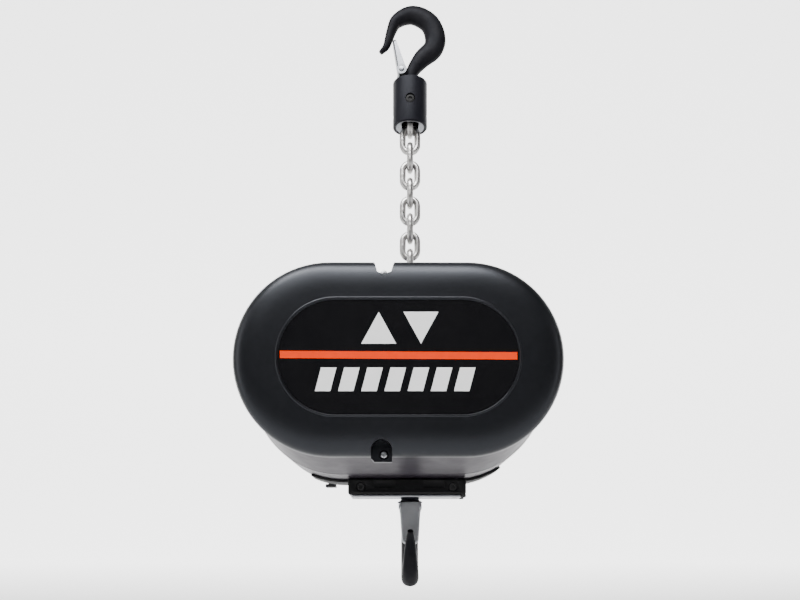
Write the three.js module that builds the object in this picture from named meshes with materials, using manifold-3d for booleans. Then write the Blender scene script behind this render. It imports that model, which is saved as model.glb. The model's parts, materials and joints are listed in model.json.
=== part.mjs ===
// Electric chain hoist that climbs its own chain: top hook, swivel block, calibrated chain,
// aluminium body with lift wheel, gears, brake motor and controls, and a suspension hook below.
// Millimetres, +Z up, the label side faces -Y. The origin is the seat of the top hook's bowl.
import * as THREE from 'three';
import { mergeVertices } from 'three/addons/utils/BufferGeometryUtils.js';
import Module from 'manifold-3d';

const wasm = await Module();
wasm.setup();

// ---------------------------------------------------------------- driving dimensions

const GAP = 0.3; // running gap between neighbours

// Calibrated chain, 7.9 mm wire with a 21.8 mm pitch
const PITCH = 21.8;
const WIRE = 7.9;
const LINK_WIDTH = 26;
const LINK_BEND = (LINK_WIDTH - WIRE) / 2; // centreline radius of a link's ends
const LINK_HALF = (PITCH + WIRE) / 2; // centreline half length of a link
const FIRST_LINK_Z = -122.9;
const STRAIGHT_LINKS = 17; // from the load pin down to the lift wheel
const WRAPPED_LINKS = 4;
const SLACK_LINKS = 1;
const linkZ = (k) => FIRST_LINK_Z - PITCH * k;

// Hook block
const BLOCK_RADIUS = 21.1;
const BLOCK_TOP = -74.4;
const BLOCK_BOTTOM = -129.7;
const BLOCK_BORE = 15.8;
const BLOCK_ROOF = 9.6;
const SHANK = 7.5;
const LOAD_PIN_Z = FIRST_LINK_Z + LINK_HALF - WIRE;
const LOCK_Z = -102.9;
const LOCK_RADIUS = 6;

// Body: stadium outlines on one centre
const BODY_X = -14;
const BODY_Z = -462.3;
const BODY_FLAT = 135.8;
const COVER_RADIUS = 96;
const GEAR_RADIUS = 88; // the gear housing behind the cover, flaring to the motor frame's radius
const MOTOR_RADIUS = 100.8;
const REAR_RADIUS = 98;
const FRONT_Y = -220;
const COVER_BACK_Y = -196.3;
const GEAR_FRONT_Y = -196;
const JOINT_Y = [-70.6, -69.4];
const LIFT_BACK_Y = 54;
const REAR_Y = [54.3, 109];
const COVER_WALL = 4;
const HOUSING_WALL = 6;
const GEAR_WALL_Y = [-150, -142];
const LIFT_WALL_Y = [20, 28];
const ROUND = 18;

// Bays and screws of the front cover
const BAYS = {
  top: { side: 1, x: -27.9, depth: 9.3, inner: 7.4, outer: 15.6, corner: 2.5 },
  bottom: { side: -1, x: -30.5, depth: 15.8, inner: 10.4, outer: 10.4, corner: 9 },
};
const BAY_BACK_Y = -203;
const SCREW_X = -28.2;
const SCREW_Z = { top: -378.4, bottom: -556.5 };
const SCREW_HEAD = 3.6;
const SCREW_SHANK = 2;
const LUG = { half: 10.4, slant: 3.6, bottom: -563.6, top: -549.6 };

// Name plate
const PLATE_LENGTH = 238;
const PLATE_HEIGHT = 116;
const PLATE_X = -13.3;
const PLATE_Z = -462.3;

// Lift wheel: flat links lie in five pockets and turn about their own end wires
const POCKETS = 5;
const TURN = Math.PI / POCKETS;
const SPAN_FLAT = LINK_HALF;
const SPAN_UPRIGHT = LINK_HALF - WIRE;
const FLAT_ANGLE = Math.atan2(SPAN_FLAT * Math.sin(TURN), SPAN_UPRIGHT + SPAN_FLAT * Math.cos(TURN));
const FLAT_RADIUS = SPAN_FLAT / Math.tan(FLAT_ANGLE);
const UPRIGHT_RADIUS = SPAN_UPRIGHT / Math.tan(TURN - FLAT_ANGLE);
const WHEEL_X = -FLAT_RADIUS;
const SLACK_X = WHEEL_X - UPRIGHT_RADIUS;
const WHEEL_Z = linkZ(STRAIGHT_LINKS - 1);
const WHEEL_HALF = 14.5;
const GROOVE_HALF = 5;

// Gear train
const MODULE = 2;
const TEETH = { lift: 48, pinion: 12, intermediate: 40, motor: 10 };
const MOTOR_X = 45;
const MOTOR_Z = -462;

// Suspension adapter and lower hook
const ADAPTER_X = [-75.5, 68];
const ADAPTER_Y = [-20, 28];
const ADAPTER_TOP = -563.4;
const ADAPTER_BOTTOM = -583;
const ADAPTER_PLATE = 2.5;
const CRADLE = { y: [0.5, 54], thick: 2.8, left: 0.4, right: 0.59 };
const LOWER_SCALE = 1.2;
const LOWER_SEAT_Z = -671.3;

// ---------------------------------------------------------------- geometry helpers

// One welded, closed surface with its faces pointing out
function weld(geometry) {
  const bare = geometry.index ? geometry.toNonIndexed() : geometry.clone();
  bare.deleteAttribute('normal');
  bare.deleteAttribute('uv');
  const merged = mergeVertices(bare, 1e-3);
  const at = merged.attributes.position;
  const [a, b, c] = [new THREE.Vector3(), new THREE.Vector3(), new THREE.Vector3()];
  const index = [];
  let volume = 0;
  for (let i = 0; i < merged.index.count; i += 3) {
    const [p, q, r] = [0, 1, 2].map((n) => merged.index.getX(i + n));
    if (p === q || q === r || r === p) continue;
    index.push(p, q, r);
    volume += a.fromBufferAttribute(at, p).dot(b.fromBufferAttribute(at, q)
      .cross(c.fromBufferAttribute(at, r)));
  }
  merged.setIndex(volume < 0 ? index.reverse() : index);
  merged.computeVertexNormals();
  return merged;
}

function solidOf(geometry) {
  const g = weld(geometry);
  const mesh = new wasm.Mesh({
    numProp: 3,
    vertProperties: new Float32Array(g.attributes.position.array),
    triVerts: new Uint32Array(g.index.array),
  });
  mesh.merge();
  return new wasm.Manifold(mesh);
}

function geometryOf(solid) {
  const mesh = solid.getMesh();
  const g = new THREE.BufferGeometry();
  g.setAttribute('position', new THREE.BufferAttribute(mesh.vertProperties, 3));
  g.setIndex(new THREE.BufferAttribute(mesh.triVerts, 1));
  return weld(g);
}

// body, with the tools taken away
const cut = (body, ...tools) => geometryOf(
  tools.reduce((left, tool) => left.subtract(solidOf(tool)), solidOf(body)));

// several overlapping pieces made into one
const join = (body, ...more) => geometryOf(
  more.reduce((whole, piece) => whole.add(solidOf(piece)), solidOf(body)));

// Shapes drawn in a plane and extruded at right angles to it, from low to high
const AXES = {
  x: new THREE.Matrix4().set(0, 0, 1, 0, 1, 0, 0, 0, 0, 1, 0, 0, 0, 0, 0, 1),
  y: new THREE.Matrix4().set(1, 0, 0, 0, 0, 0, -1, 0, 0, 1, 0, 0, 0, 0, 0, 1),
  z: new THREE.Matrix4(),
};

function extrude(axis, shape, low, high, curveSegments = 12, bevel = 0) {
  const g = new THREE.ExtrudeGeometry(shape, {
    depth: high - low - 2 * bevel,
    curveSegments,
    bevelEnabled: bevel > 0,
    bevelThickness: bevel,
    bevelSize: bevel,
    bevelSegments: 5,
  });
  g.translate(0, 0, bevel);
  g.translate(0, 0, axis === 'y' ? -high : low);
  return g.applyMatrix4(AXES[axis]);
}

// A rod along an axis, centred on the other two coordinates
function rod(axis, radius, low, high, at = [0, 0], sides = 24) {
  const shape = new THREE.Shape().absarc(at[0], at[1], radius, 0, 2 * Math.PI);
  return extrude(axis, shape, low, high, sides / 2);
}

// A body turned about an axis from [radius, position] points
function turned(axis, profile, at = [0, 0], sides = 24) {
  const open = profile[0][0] > 0;
  const points = (open ? [...profile, profile[0]] : profile).map((p) => new THREE.Vector2(...p));
  const g = new THREE.LatheGeometry(points, sides);
  if (axis === 'z') return g.rotateX(Math.PI / 2).translate(at[0], at[1], 0);
  if (axis === 'y') return g.translate(at[0], 0, at[1]);
  return g.rotateZ(-Math.PI / 2).translate(0, at[0], at[1]);
}

const ring = (axis, inner, outer, low, high, at = [0, 0], sides = 24) => turned(
  axis, [[inner, low], [outer, low], [outer, high], [inner, high]], at, sides);

const box = (x, y, z) => new THREE.BoxGeometry(x[1] - x[0], y[1] - y[0], z[1] - z[0])
  .translate((x[0] + x[1]) / 2, (y[0] + y[1]) / 2, (z[0] + z[1]) / 2);

function roundedRectangle(width, height, radius, x = 0, y = 0) {
  const [a, b] = [width / 2 - radius, height / 2 - radius];
  const quarter = Math.PI / 2;
  return new THREE.Shape()
    .absarc(x + a, y - b, radius, -quarter, 0)
    .absarc(x + a, y + b, radius, 0, quarter)
    .absarc(x - a, y + b, radius, quarter, 2 * quarter)
    .absarc(x - a, y - b, radius, 2 * quarter, 3 * quarter);
}

function stadium(length, height, x, y) {
  const [radius, flat] = [height / 2, (length - height) / 2];
  const quarter = Math.PI / 2;
  return new THREE.Shape()
    .absarc(x + flat, y, radius, -quarter, quarter)
    .absarc(x - flat, y, radius, quarter, 3 * quarter);
}

// A skin over rings of points with the same count; the ends are capped, or joined in a loop
function skin(rings, loop = false) {
  const count = rings[0].length;
  const position = rings.flat().flatMap((p) => [p.x, p.y, p.z]);
  const index = [];
  const steps = loop ? rings.length : rings.length - 1;
  for (let i = 0; i < steps; i += 1) {
    const [near, far] = [i * count, ((i + 1) % rings.length) * count];
    for (let j = 0; j < count; j += 1) {
      const next = (j + 1) % count;
      index.push(near + j, near + next, far + next, near + j, far + next, far + j);
    }
  }
  if (!loop) {
    const [first, last] = [rings[0], rings[rings.length - 1]];
    const flat = flattened(first);
    const start = (rings.length - 1) * count;
    for (const [a, b, c] of THREE.ShapeUtils.triangulateShape(flat, [])) index.push(a, c, b);
    for (const [a, b, c] of THREE.ShapeUtils.triangulateShape(flattened(last), [])) {
      index.push(start + a, start + b, start + c);
    }
  }
  const g = new THREE.BufferGeometry();
  g.setAttribute('position', new THREE.Float32BufferAttribute(position, 3));
  g.setIndex(index);
  return weld(g);
}

// A flat ring of points, seen in its own plane
function flattened(points) {
  const u = points[1].clone().sub(points[0]).normalize();
  const normal = new THREE.Vector3();
  points.forEach((p, i) => normal.add(p.clone().cross(points[(i + 1) % points.length])));
  const v = normal.normalize().clone().cross(u);
  return points.map((p) => new THREE.Vector2(p.dot(u), p.dot(v)));
}

const oval = (centre, across, along, sides) => Array.from({ length: sides }, (_, i) => {
  const angle = (2 * Math.PI * i) / sides;
  return centre.clone().addScaledVector(across, Math.cos(angle)).addScaledVector(along, Math.sin(angle));
});

// ---------------------------------------------------------------- finishes

const finish = (color, roughness, metalness) => new THREE.MeshStandardMaterial(
  { color, roughness, metalness });

const FINISH = {
  cover: finish(0x1b1c1e, 0.45, 0.1),
  casing: finish(0x17181a, 0.18, 0.1),
  forging: finish(0x17181b, 0.42, 0.5),
  zinc: finish(0xc4c7ca, 0.35, 0.9),
  chain: finish(0xb4b3b2, 0.38, 0.9),
  plate: finish(0x0b0b0c, 0.15, 0.0),
  steel: finish(0x9a9da1, 0.35, 0.9),
  copper: finish(0x9a5a33, 0.5, 0.6),
  rubber: finish(0x101010, 0.8, 0.0),
  plastic: finish(0x242629, 0.55, 0.0),
};

const hoist = new THREE.Group();

function add(name, geometry, material, position = [0, 0, 0], rotation = [0, 0, 0], to = hoist) {
  const mesh = new THREE.Mesh(weld(geometry), FINISH[material]);
  mesh.name = name;
  mesh.position.set(...position);
  mesh.rotation.set(...rotation);
  to.add(mesh);
  return mesh;
}

// ---------------------------------------------------------------- hooks and latches

// Stations of the forging from the tip round to the shank, in the hook's own plane:
// sideways, up, half width in the plane, half thickness across it
const HOOK_STATIONS = [
  [-36.4, -36.4, 2.6, 3.0],
  [-29.6, -29.0, 4.2, 4.6],
  [-26.4, -20.4, 5.2, 5.8],
  [-22.8, -9.3, 6.2, 7.0],
  [-16.9, 2.1, 7.8, 8.2],
  [2.5, 10.0, 10.5, 9.2],
  [23.5, 0.0, 12.0, 9.2],
  [31.2, -18.5, 12.8, 9.2],
  [28.4, -31.5, 12.3, 9.1],
  [14.2, -44.7, 10.6, 8.6],
  [2.5, -61.1, 7.7, 7.6],
  [0, BLOCK_TOP, SHANK, SHANK],
];
const HOOK_RINGS = 30;
const HOOK_SIDES = 12;
const LATCH_PIVOT = [-10.3, -61.8];
const LATCH_TIP = [-20.6, -24.1];
const LUG_RADIUS = 2.9;
const LATCH_PIN = 1.6;
const LATCH_WIDTH = [21.7, 16.6];
const LATCH_DEPTH = [8.8, 3.0];
const LATCH_TAIL = { start: -0.08, depth: 6.6 };
const LATCH_SHEET = 1.5;
const LUG_HALF = 3.4;

// The forging with its lug for the latch pin; the shank runs down to shankEnd
function hookForging(shankEnd) {
  const path = new THREE.CatmullRomCurve3(HOOK_STATIONS.map(([x, z]) => new THREE.Vector3(x, 0, z)));
  const size = new THREE.CatmullRomCurve3(HOOK_STATIONS.map(([, , a, b]) => new THREE.Vector3(a, b, 0)));
  const across = new THREE.Vector3(0, 1, 0);
  const rings = Array.from({ length: HOOK_RINGS + 1 }, (_, i) => {
    const t = i / HOOK_RINGS;
    const { x: half, y: thick } = size.getPoint(t);
    const side = path.getTangent(t).cross(across);
    if (t === 1) side.set(1, 0, 0);
    const reach = across.clone().multiplyScalar(thick);
    return oval(path.getPoint(t), side.multiplyScalar(half), reach, HOOK_SIDES);
  });
  rings.push(rings.at(-1).map((p) => p.clone().setZ(shankEnd)));
  const [px, pz] = LATCH_PIVOT;
  const lug = new THREE.Shape()
    .absarc(px, pz, LUG_RADIUS, Math.PI / 2, (3 * Math.PI) / 2)
    .lineTo(0, pz - LUG_RADIUS)
    .lineTo(0, pz + 2 * LUG_RADIUS);
  return cut(
    join(skin(rings), extrude('y', lug, -LUG_HALF, LUG_HALF, 6)),
    rod('y', LATCH_PIN + GAP, -12, 12, LATCH_PIVOT, 12));
}

// A tapered sheet channel from below the pivot to the inside of the tip
function latchChannel() {
  const pivot = new THREE.Vector3(LATCH_PIVOT[0], 0, LATCH_PIVOT[1]);
  const tip = new THREE.Vector3(LATCH_TIP[0], 0, LATCH_TIP[1]);
  const along = tip.clone().sub(pivot);
  const inward = new THREE.Vector3(along.z, 0, -along.x).normalize();
  const webInset = 4.9;
  const section = (t) => {
    const s = Math.max(t, 0);
    const half = THREE.MathUtils.lerp(...LATCH_WIDTH, s) / 2;
    const depth = t < 0 ? LATCH_TAIL.depth : THREE.MathUtils.lerp(...LATCH_DEPTH, s);
    const inset = THREE.MathUtils.lerp(webInset, LATCH_SHEET / 2, s);
    const inner = half - LATCH_SHEET;
    return [[-half, 0], [half, 0], [half, depth], [inner, depth], [inner, LATCH_SHEET],
      [-inner, LATCH_SHEET], [-inner, depth], [-half, depth]].map(([y, q]) => pivot.clone()
      .addScaledVector(along, t).addScaledVector(inward, q - inset).setY(y));
  };
  return cut(
    skin([LATCH_TAIL.start, 0, 1].map(section)),
    rod('y', LATCH_PIN + GAP, -12, 12, LATCH_PIVOT, 12));
}

// Coil of the torsion spring that closes the latch, round the pin beside the lug
function latchCoil() {
  const [turns, radius, wire, steps] = [3, 2.9, 0.8, 10];
  const [px, pz] = LATCH_PIVOT;
  const rings = Array.from({ length: turns * steps + 1 }, (_, i) => {
    const angle = (2 * Math.PI * i) / steps;
    const out = new THREE.Vector3(Math.cos(angle), 0, Math.sin(angle));
    const centre = out.clone().multiplyScalar(radius).add(new THREE.Vector3(px, 0, pz));
    centre.y = LUG_HALF + GAP + wire / 2 + (i / steps) * (wire + 0.35);
    return oval(centre, out.multiplyScalar(wire / 2), new THREE.Vector3(0, wire / 2, 0), 6);
  });
  return skin(rings);
}

const latchPin = () => turned('y', [[0, -11.6], [2.6, -11.6], [2.6, -11.2], [LATCH_PIN, -11.2],
  [LATCH_PIN, 11.2], [2.6, 11.2], [2.6, 11.6], [0, 11.6]], LATCH_PIVOT, 12);

function addHook(prefix, scale, place, shankEnd) {
  const frame = new THREE.Group();
  place(frame);
  const parts = {
    hook: [hookForging(shankEnd), 'forging'],
    latch: [latchChannel(), 'zinc'],
    latch_pin: [latchPin(), 'zinc'],
    latch_spring: [latchCoil(), 'steel'],
  };
  for (const [name, [geometry, material]] of Object.entries(parts)) {
    add(`${prefix}_${name}`, geometry.scale(scale, scale, scale), material, undefined, undefined, frame);
  }
  hoist.add(frame);
}

addHook('upper', 1, () => {}, -99.5);
addHook('lower', LOWER_SCALE, (frame) => {
  frame.position.z = LOWER_SEAT_Z;
  frame.rotation.set(Math.PI, 0, Math.PI / 2, 'ZYX');
}, (LOWER_SEAT_Z - ADAPTER_TOP + 1.6) / LOWER_SCALE);

const hexagon = (radius) => new THREE.Shape(Array.from({ length: 6 }, (_, i) => new THREE.Vector2(
  radius * Math.cos((i * Math.PI) / 3), radius * Math.sin((i * Math.PI) / 3))));

function nut(across, bore, low, high) {
  const shape = hexagon(across);
  shape.holes.push(new THREE.Path().absarc(0, 0, bore, 0, 2 * Math.PI));
  return extrude('z', shape, low, high, 10);
}

// ---------------------------------------------------------------- hook block

function hookBlock() {
  const [rim, mouth, mouthDepth] = [1.6, 18.2, 3.1];
  const shell = turned('z', [
    [SHANK + GAP, BLOCK_TOP], [BLOCK_RADIUS - rim, BLOCK_TOP],
    [BLOCK_RADIUS - rim * 0.3, BLOCK_TOP - rim * 0.3],
    [BLOCK_RADIUS, BLOCK_TOP - rim], [BLOCK_RADIUS, BLOCK_BOTTOM + 1], [BLOCK_RADIUS - 1, BLOCK_BOTTOM],
    [mouth, BLOCK_BOTTOM], [mouth, BLOCK_BOTTOM + mouthDepth], [BLOCK_BORE, BLOCK_BOTTOM + mouthDepth],
    [BLOCK_BORE, BLOCK_TOP - BLOCK_ROOF], [SHANK + GAP, BLOCK_TOP - BLOCK_ROOF],
  ], [0, 0], 36);
  return cut(
    shell,
    rod('x', WIRE / 2 + GAP / 2, -30, 30, [0, LOAD_PIN_Z], 12),
    rod('y', LOCK_RADIUS, -30, 3.2 - BLOCK_RADIUS, [0, LOCK_Z], 16));
}

add('hook_block', hookBlock(), 'forging');
const roof = BLOCK_TOP - BLOCK_ROOF;
add('thrust_bearing', ring('z', SHANK + 2 * GAP, 13, roof - 4.1, roof - GAP), 'steel');
add('hook_nut', nut(13, SHANK + GAP, roof - 14.4, roof - 4.4), 'steel');
add('load_pin', rod('x', WIRE / 2 - GAP / 2, -19.5, 19.5, [0, LOAD_PIN_Z], 12), 'steel');

const SET_SCREW = { radius: 2.4, y: [0.4 - BLOCK_RADIUS, 1.8 - BLOCK_RADIUS] };
add('block_set_screw', rod('y', SET_SCREW.radius, ...SET_SCREW.y, [0, LOCK_Z], 12), 'steel');

const endPlate = new THREE.Shape().absarc(0, 0, 17.7, 0, 2 * Math.PI);
endPlate.holes.push(roundedRectangle(20.6, 31, 6));
add('end_plate', extrude('z', endPlate, BLOCK_BOTTOM + 0.4, BLOCK_BOTTOM + 2.8), 'zinc');

// ---------------------------------------------------------------- chain

function chainLink() {
  const [bends, sides] = [6, 6];
  const radius = (WIRE - GAP) / 2;
  const rings = [];
  for (const end of [1, -1]) {
    for (let i = 0; i <= bends; i += 1) {
      const angle = (Math.PI * i) / bends + (end < 0 ? Math.PI : 0);
      const out = new THREE.Vector3(Math.cos(angle), 0, Math.sin(angle));
      const centre = out.clone().multiplyScalar(LINK_BEND);
      centre.z += end * (LINK_HALF - LINK_BEND);
      rings.push(oval(centre, out.multiplyScalar(radius), new THREE.Vector3(0, radius, 0), sides));
    }
  }
  return skin(rings, true);
}

const chain = new THREE.Group();
hoist.add(chain);

// Link k of the chain, its length turned by angle round the wheel's axis
function addLink(k, x, z, angle = 0) {
  const edgeOn = k % 2 === 0;
  const frame = new THREE.Group();
  frame.position.set(x, 0, z);
  frame.rotation.y = angle;
  chain.add(frame);
  const name = `chain_link_${String(k + 1).padStart(2, '0')}`;
  add(name, chainLink(), 'chain', [0, 0, 0], [0, 0, edgeOn ? Math.PI / 2 : 0], frame);
}

for (let k = 0; k < STRAIGHT_LINKS; k += 1) addLink(k, 0, linkZ(k));
for (let i = 1; i <= WRAPPED_LINKS; i += 1) {
  const [k, angle] = [STRAIGHT_LINKS - 1 + i, TURN * i];
  const radius = k % 2 === 0 ? FLAT_RADIUS : UPRIGHT_RADIUS;
  addLink(k, WHEEL_X + radius * Math.cos(angle), WHEEL_Z - radius * Math.sin(angle), angle);
}
for (let i = 0; i < SLACK_LINKS; i += 1) {
  addLink(STRAIGHT_LINKS + WRAPPED_LINKS + i, SLACK_X, WHEEL_Z + PITCH * i);
}

// ---------------------------------------------------------------- casings

const outline = (radius) => stadium(BODY_FLAT + 2 * radius, 2 * radius, BODY_X, BODY_Z);

const slab = (radius, low, high) => extrude('y', outline(radius), low, high, 12);

// Rounded at both ends
const rounded = (radius, low, high) => extrude('y', outline(radius - ROUND), low, high, 12, ROUND);

const everywhere = [-400, 400];
const halfSpace = (low, high) => box(everywhere, [low, high], [-900, 100]);

// A bay for a cover screw, open at the cover's edge; grow widens it for the wall round it
function screwBay(end, grow, low, high) {
  const { side, x, depth, inner, outer, corner } = BAYS[end];
  const edge = BODY_Z + side * COVER_RADIUS;
  const beyond = edge + side * 20;
  const floor = edge - side * (depth + grow);
  const [near, far] = [inner + grow, outer + grow];
  const bay = new THREE.Shape()
    .moveTo(x - far, beyond)
    .lineTo(x - near, floor + side * corner)
    .quadraticCurveTo(x - near, floor, x - near + corner, floor)
    .lineTo(x + near - corner, floor)
    .quadraticCurveTo(x + near, floor, x + near, floor + side * corner)
    .lineTo(x + far, beyond);
  return extrude('y', bay, low, high, 5);
}

const screwRod = (radius, low, high, z, sides = 12) => rod('y', radius, low, high, [SCREW_X, z], sides);

function frontCover() {
  const [wall, rib, ahead, behind] = [COVER_WALL, 3, FRONT_Y - 10, 60];
  const head = SCREW_HEAD + 2 * GAP;
  const outer = cut(rounded(COVER_RADIUS, FRONT_Y, behind), halfSpace(COVER_BACK_Y, 400));
  const hollow = cut(
    rounded(COVER_RADIUS - wall, FRONT_Y + wall, behind),
    screwBay('top', rib, FRONT_Y, behind),
    screwBay('bottom', rib, FRONT_Y, behind),
    screwRod(head + rib, FRONT_Y, behind, SCREW_Z.top));
  const { half, slant, bottom, top } = LUG;
  const lug = new THREE.Shape()
    .moveTo(BAYS.bottom.x - half, bottom + slant)
    .lineTo(BAYS.bottom.x - half + slant, bottom)
    .lineTo(BAYS.bottom.x + half, bottom)
    .lineTo(BAYS.bottom.x + half, top)
    .lineTo(BAYS.bottom.x - half, top);
  return cut(
    join(
      cut(outer, hollow, screwBay('top', 0, ahead, behind), screwBay('bottom', 0, ahead, BAY_BACK_Y)),
      extrude('y', lug, BAY_BACK_Y - 2, COVER_BACK_Y)),
    ...Object.values(SCREW_Z).flatMap((z) => [
      screwRod(head, ahead, BAY_BACK_Y, z),
      screwRod(SCREW_SHANK + GAP, ahead, behind, z)]),
    extrude('y', stadium(PLATE_LENGTH, PLATE_HEIGHT, PLATE_X, PLATE_Z), FRONT_Y - 5, FRONT_Y + 2, 16));
}

add('front_cover', frontCover(), 'cover');
add('name_plate', extrude(
  'y', stadium(PLATE_LENGTH - 1.2, PLATE_HEIGHT - 1.2, PLATE_X, PLATE_Z),
  FRONT_Y + 0.2, FRONT_Y + 1.7, 16), 'plate');

for (const [end, z] of Object.entries(SCREW_Z)) {
  const [seat, tip, socket, edge] = [BAY_BACK_Y - GAP, -189, 2, 0.5];
  const head = seat - 4;
  add(`cover_screw_${end}`, turned('y', [[0, head + 2], [socket, head + 2], [socket, head],
    [SCREW_HEAD - edge, head], [SCREW_HEAD, head + edge], [SCREW_HEAD, seat], [SCREW_SHANK, seat],
    [SCREW_SHANK, tip], [0, tip]], [SCREW_X, z], 12), 'zinc');
}

const WHEEL_AT = [WHEEL_X, WHEEL_Z];
const MOTOR_AT = [MOTOR_X, MOTOR_Z];
const JOURNAL = 10;
const PINION_SHAFT = 7;
const MOTOR_SHAFT = 8;
const MOTOR_END = 5;

// Where two circles round a and b meet, on the upper side of the line between them
function meeting(a, ra, b, rb) {
  const [dx, dz] = [b[0] - a[0], b[1] - a[1]];
  const base = Math.hypot(dx, dz);
  const along = (ra * ra - rb * rb + base * base) / (2 * base);
  const off = Math.sqrt(ra * ra - along * along);
  return [a[0] + (dx * along - dz * off) / base, a[1] + (dz * along + dx * off) / base];
}

const meshDistance = (a, b) => (MODULE * (TEETH[a] + TEETH[b])) / 2;
const INTERMEDIATE_AT = meeting(
  WHEEL_AT, meshDistance('lift', 'pinion'), MOTOR_AT, meshDistance('intermediate', 'motor'));

const INSIDE = MOTOR_RADIUS - HOUSING_WALL;

// Part of the gear housing's flare, inset for its wall
const SLIVER = 0.05;
function flare(inset, low, high) {
  const slope = (MOTOR_RADIUS - GEAR_RADIUS) / (JOINT_Y[0] - GEAR_FRONT_Y);
  const radius = (y) => GEAR_RADIUS - inset + slope * (y - GEAR_FRONT_Y);
  return geometryOf(wasm.Manifold.hull([
    solidOf(slab(radius(low), low, low + SLIVER)),
    solidOf(slab(radius(high), high - SLIVER, high))]));
}

const aboveHousing = box(everywhere, everywhere, [BODY_Z + GEAR_RADIUS, 0]);
const screwPads = Object.values(SCREW_Z).map(
  (z) => cut(screwRod(SCREW_SHANK + 4, GEAR_FRONT_Y, -160, z), aboveHousing));

add('gear_housing', cut(
  join(
    cut(
      flare(0, GEAR_FRONT_Y, JOINT_Y[0]),
      flare(HOUSING_WALL, GEAR_FRONT_Y - 5, GEAR_WALL_Y[0]),
      flare(HOUSING_WALL, GEAR_WALL_Y[1], JOINT_Y[0] + 5)),
    ...screwPads),
  rod('y', JOURNAL + GAP, -155, -137, WHEEL_AT),
  rod('y', PINION_SHAFT + GAP, -155, -137, INTERMEDIATE_AT, 16),
  rod('y', MOTOR_END + GAP, -155, -137, MOTOR_AT, 16),
  ...Object.values(SCREW_Z).map((z) => screwRod(SCREW_SHANK + GAP, -200, -187, z))), 'casing');

const GUIDE = { x: [-84, 18], y: [-18, 18], z: [-415, -364] };

add('motor_frame', cut(
  slab(MOTOR_RADIUS, JOINT_Y[1], LIFT_BACK_Y),
  slab(INSIDE, JOINT_Y[1] - 10, LIFT_WALL_Y[0]),
  slab(INSIDE, LIFT_WALL_Y[1], LIFT_BACK_Y + 10),
  rod('y', JOURNAL + GAP, 15, 35, WHEEL_AT),
  rod('y', MOTOR_SHAFT + GAP, 15, 35, MOTOR_AT),
  box([GUIDE.x[0] - GAP, GUIDE.x[1] + GAP], [GUIDE.y[0] - GAP, GUIDE.y[1] + GAP], [-400, -350])), 'casing');

const GLAND_AT = [-103.5, 76];

add('rear_cover', cut(
  rounded(REAR_RADIUS, 0, REAR_Y[1]),
  halfSpace(-100, REAR_Y[0]),
  rounded(REAR_RADIUS - COVER_WALL, 0, REAR_Y[1] - COVER_WALL),
  rod('z', 4.3, -580, -540, GLAND_AT, 12)), 'cover');

add('cable_gland', join(
  rod('z', 4, -565, -552, GLAND_AT, 12),
  box([GLAND_AT[0] - 7, GLAND_AT[0] + 7], [GLAND_AT[1] - 8, GLAND_AT[1] + 8], [-567.5, -563.2])), 'plastic');

// ---------------------------------------------------------------- chain guide and lift wheel

// A cross-shaped way for the links lying both ways
function crossWay(x) {
  const [reach, half] = [13.8, 5];
  const [low, high] = [GUIDE.z[0] - 5, GUIDE.z[1] + 5];
  return join(
    box([x - reach, x + reach], [-half, half], [low, high]),
    box([x - half, x + half], [-reach, reach], [low, high]));
}

add('chain_guide', cut(box(GUIDE.x, GUIDE.y, GUIDE.z), crossWay(0), crossWay(SLACK_X)), 'steel');

// One toothed side of the wheel: a floor under the flat links, and teeth between them
function wheelSide() {
  const [floor, tip, base, top, steps] = [28.1, 35.8, 2.7, 1.7, 4];
  const shape = new THREE.Shape();
  const points = [];
  for (let i = 0; i < POCKETS; i += 1) {
    const tooth = (Math.PI * (2 * i + 1)) / POCKETS;
    const edge = Math.asin(base / floor);
    const from = (radius, side) => [radius * Math.cos(tooth) - side * Math.sin(tooth),
      radius * Math.sin(tooth) + side * Math.cos(tooth)];
    points.push(from(floor * Math.cos(edge), -base), from(tip, -top), from(tip, top),
      from(floor * Math.cos(edge), base));
    const pocket = (2 * Math.PI) / POCKETS - 2 * edge;
    for (let j = 1; j < steps; j += 1) {
      const angle = tooth + edge + (pocket * j) / steps;
      points.push([floor * Math.cos(angle), floor * Math.sin(angle)]);
    }
  }
  points.forEach(([x, z], i) => (i ? shape.lineTo(x, z) : shape.moveTo(x, z)));
  return shape;
}

const LIFT_SHAFT = 12;
add('liftwheel', cut(
  join(
    rod('y', 19, -WHEEL_HALF, WHEEL_HALF),
    extrude('y', wheelSide(), -WHEEL_HALF, -GROOVE_HALF),
    extrude('y', wheelSide(), GROOVE_HALF, WHEEL_HALF)),
  rod('y', LIFT_SHAFT + GAP, -50, 50)), 'steel', [WHEEL_X, 0, WHEEL_Z]);

// ---------------------------------------------------------------- gear train

const PRESSURE = (25 * Math.PI) / 180;
const ADDENDUM = 0.8;
const DEDENDUM = 1.05;
const BACKLASH = 0.35;

// Involute spur gear with thinned teeth; the first tooth points along phase
function gear(teeth, phase) {
  const pitch = (MODULE * teeth) / 2;
  const base = pitch * Math.cos(PRESSURE);
  const [root, tip] = [pitch - DEDENDUM * MODULE, pitch + ADDENDUM * MODULE];
  const involute = (r) => {
    const a = Math.acos(Math.min(1, base / r));
    return Math.tan(a) - a;
  };
  const halfAtPitch = Math.PI / (2 * teeth) - BACKLASH / (2 * pitch);
  const half = (r) => halfAtPitch + involute(pitch) - involute(Math.max(r, base));
  const radii = [root, Math.max(root, (root + pitch) / 2), pitch, tip];
  const points = [];
  for (let i = 0; i < teeth; i += 1) {
    const centre = phase + (2 * Math.PI * i) / teeth;
    for (const r of radii) points.push([r, centre - half(r)]);
    for (const r of [...radii].reverse()) points.push([r, centre + half(r)]);
  }
  return new THREE.Shape(points.map(([r, a]) => new THREE.Vector2(r * Math.cos(a), r * Math.sin(a))));
}

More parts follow.
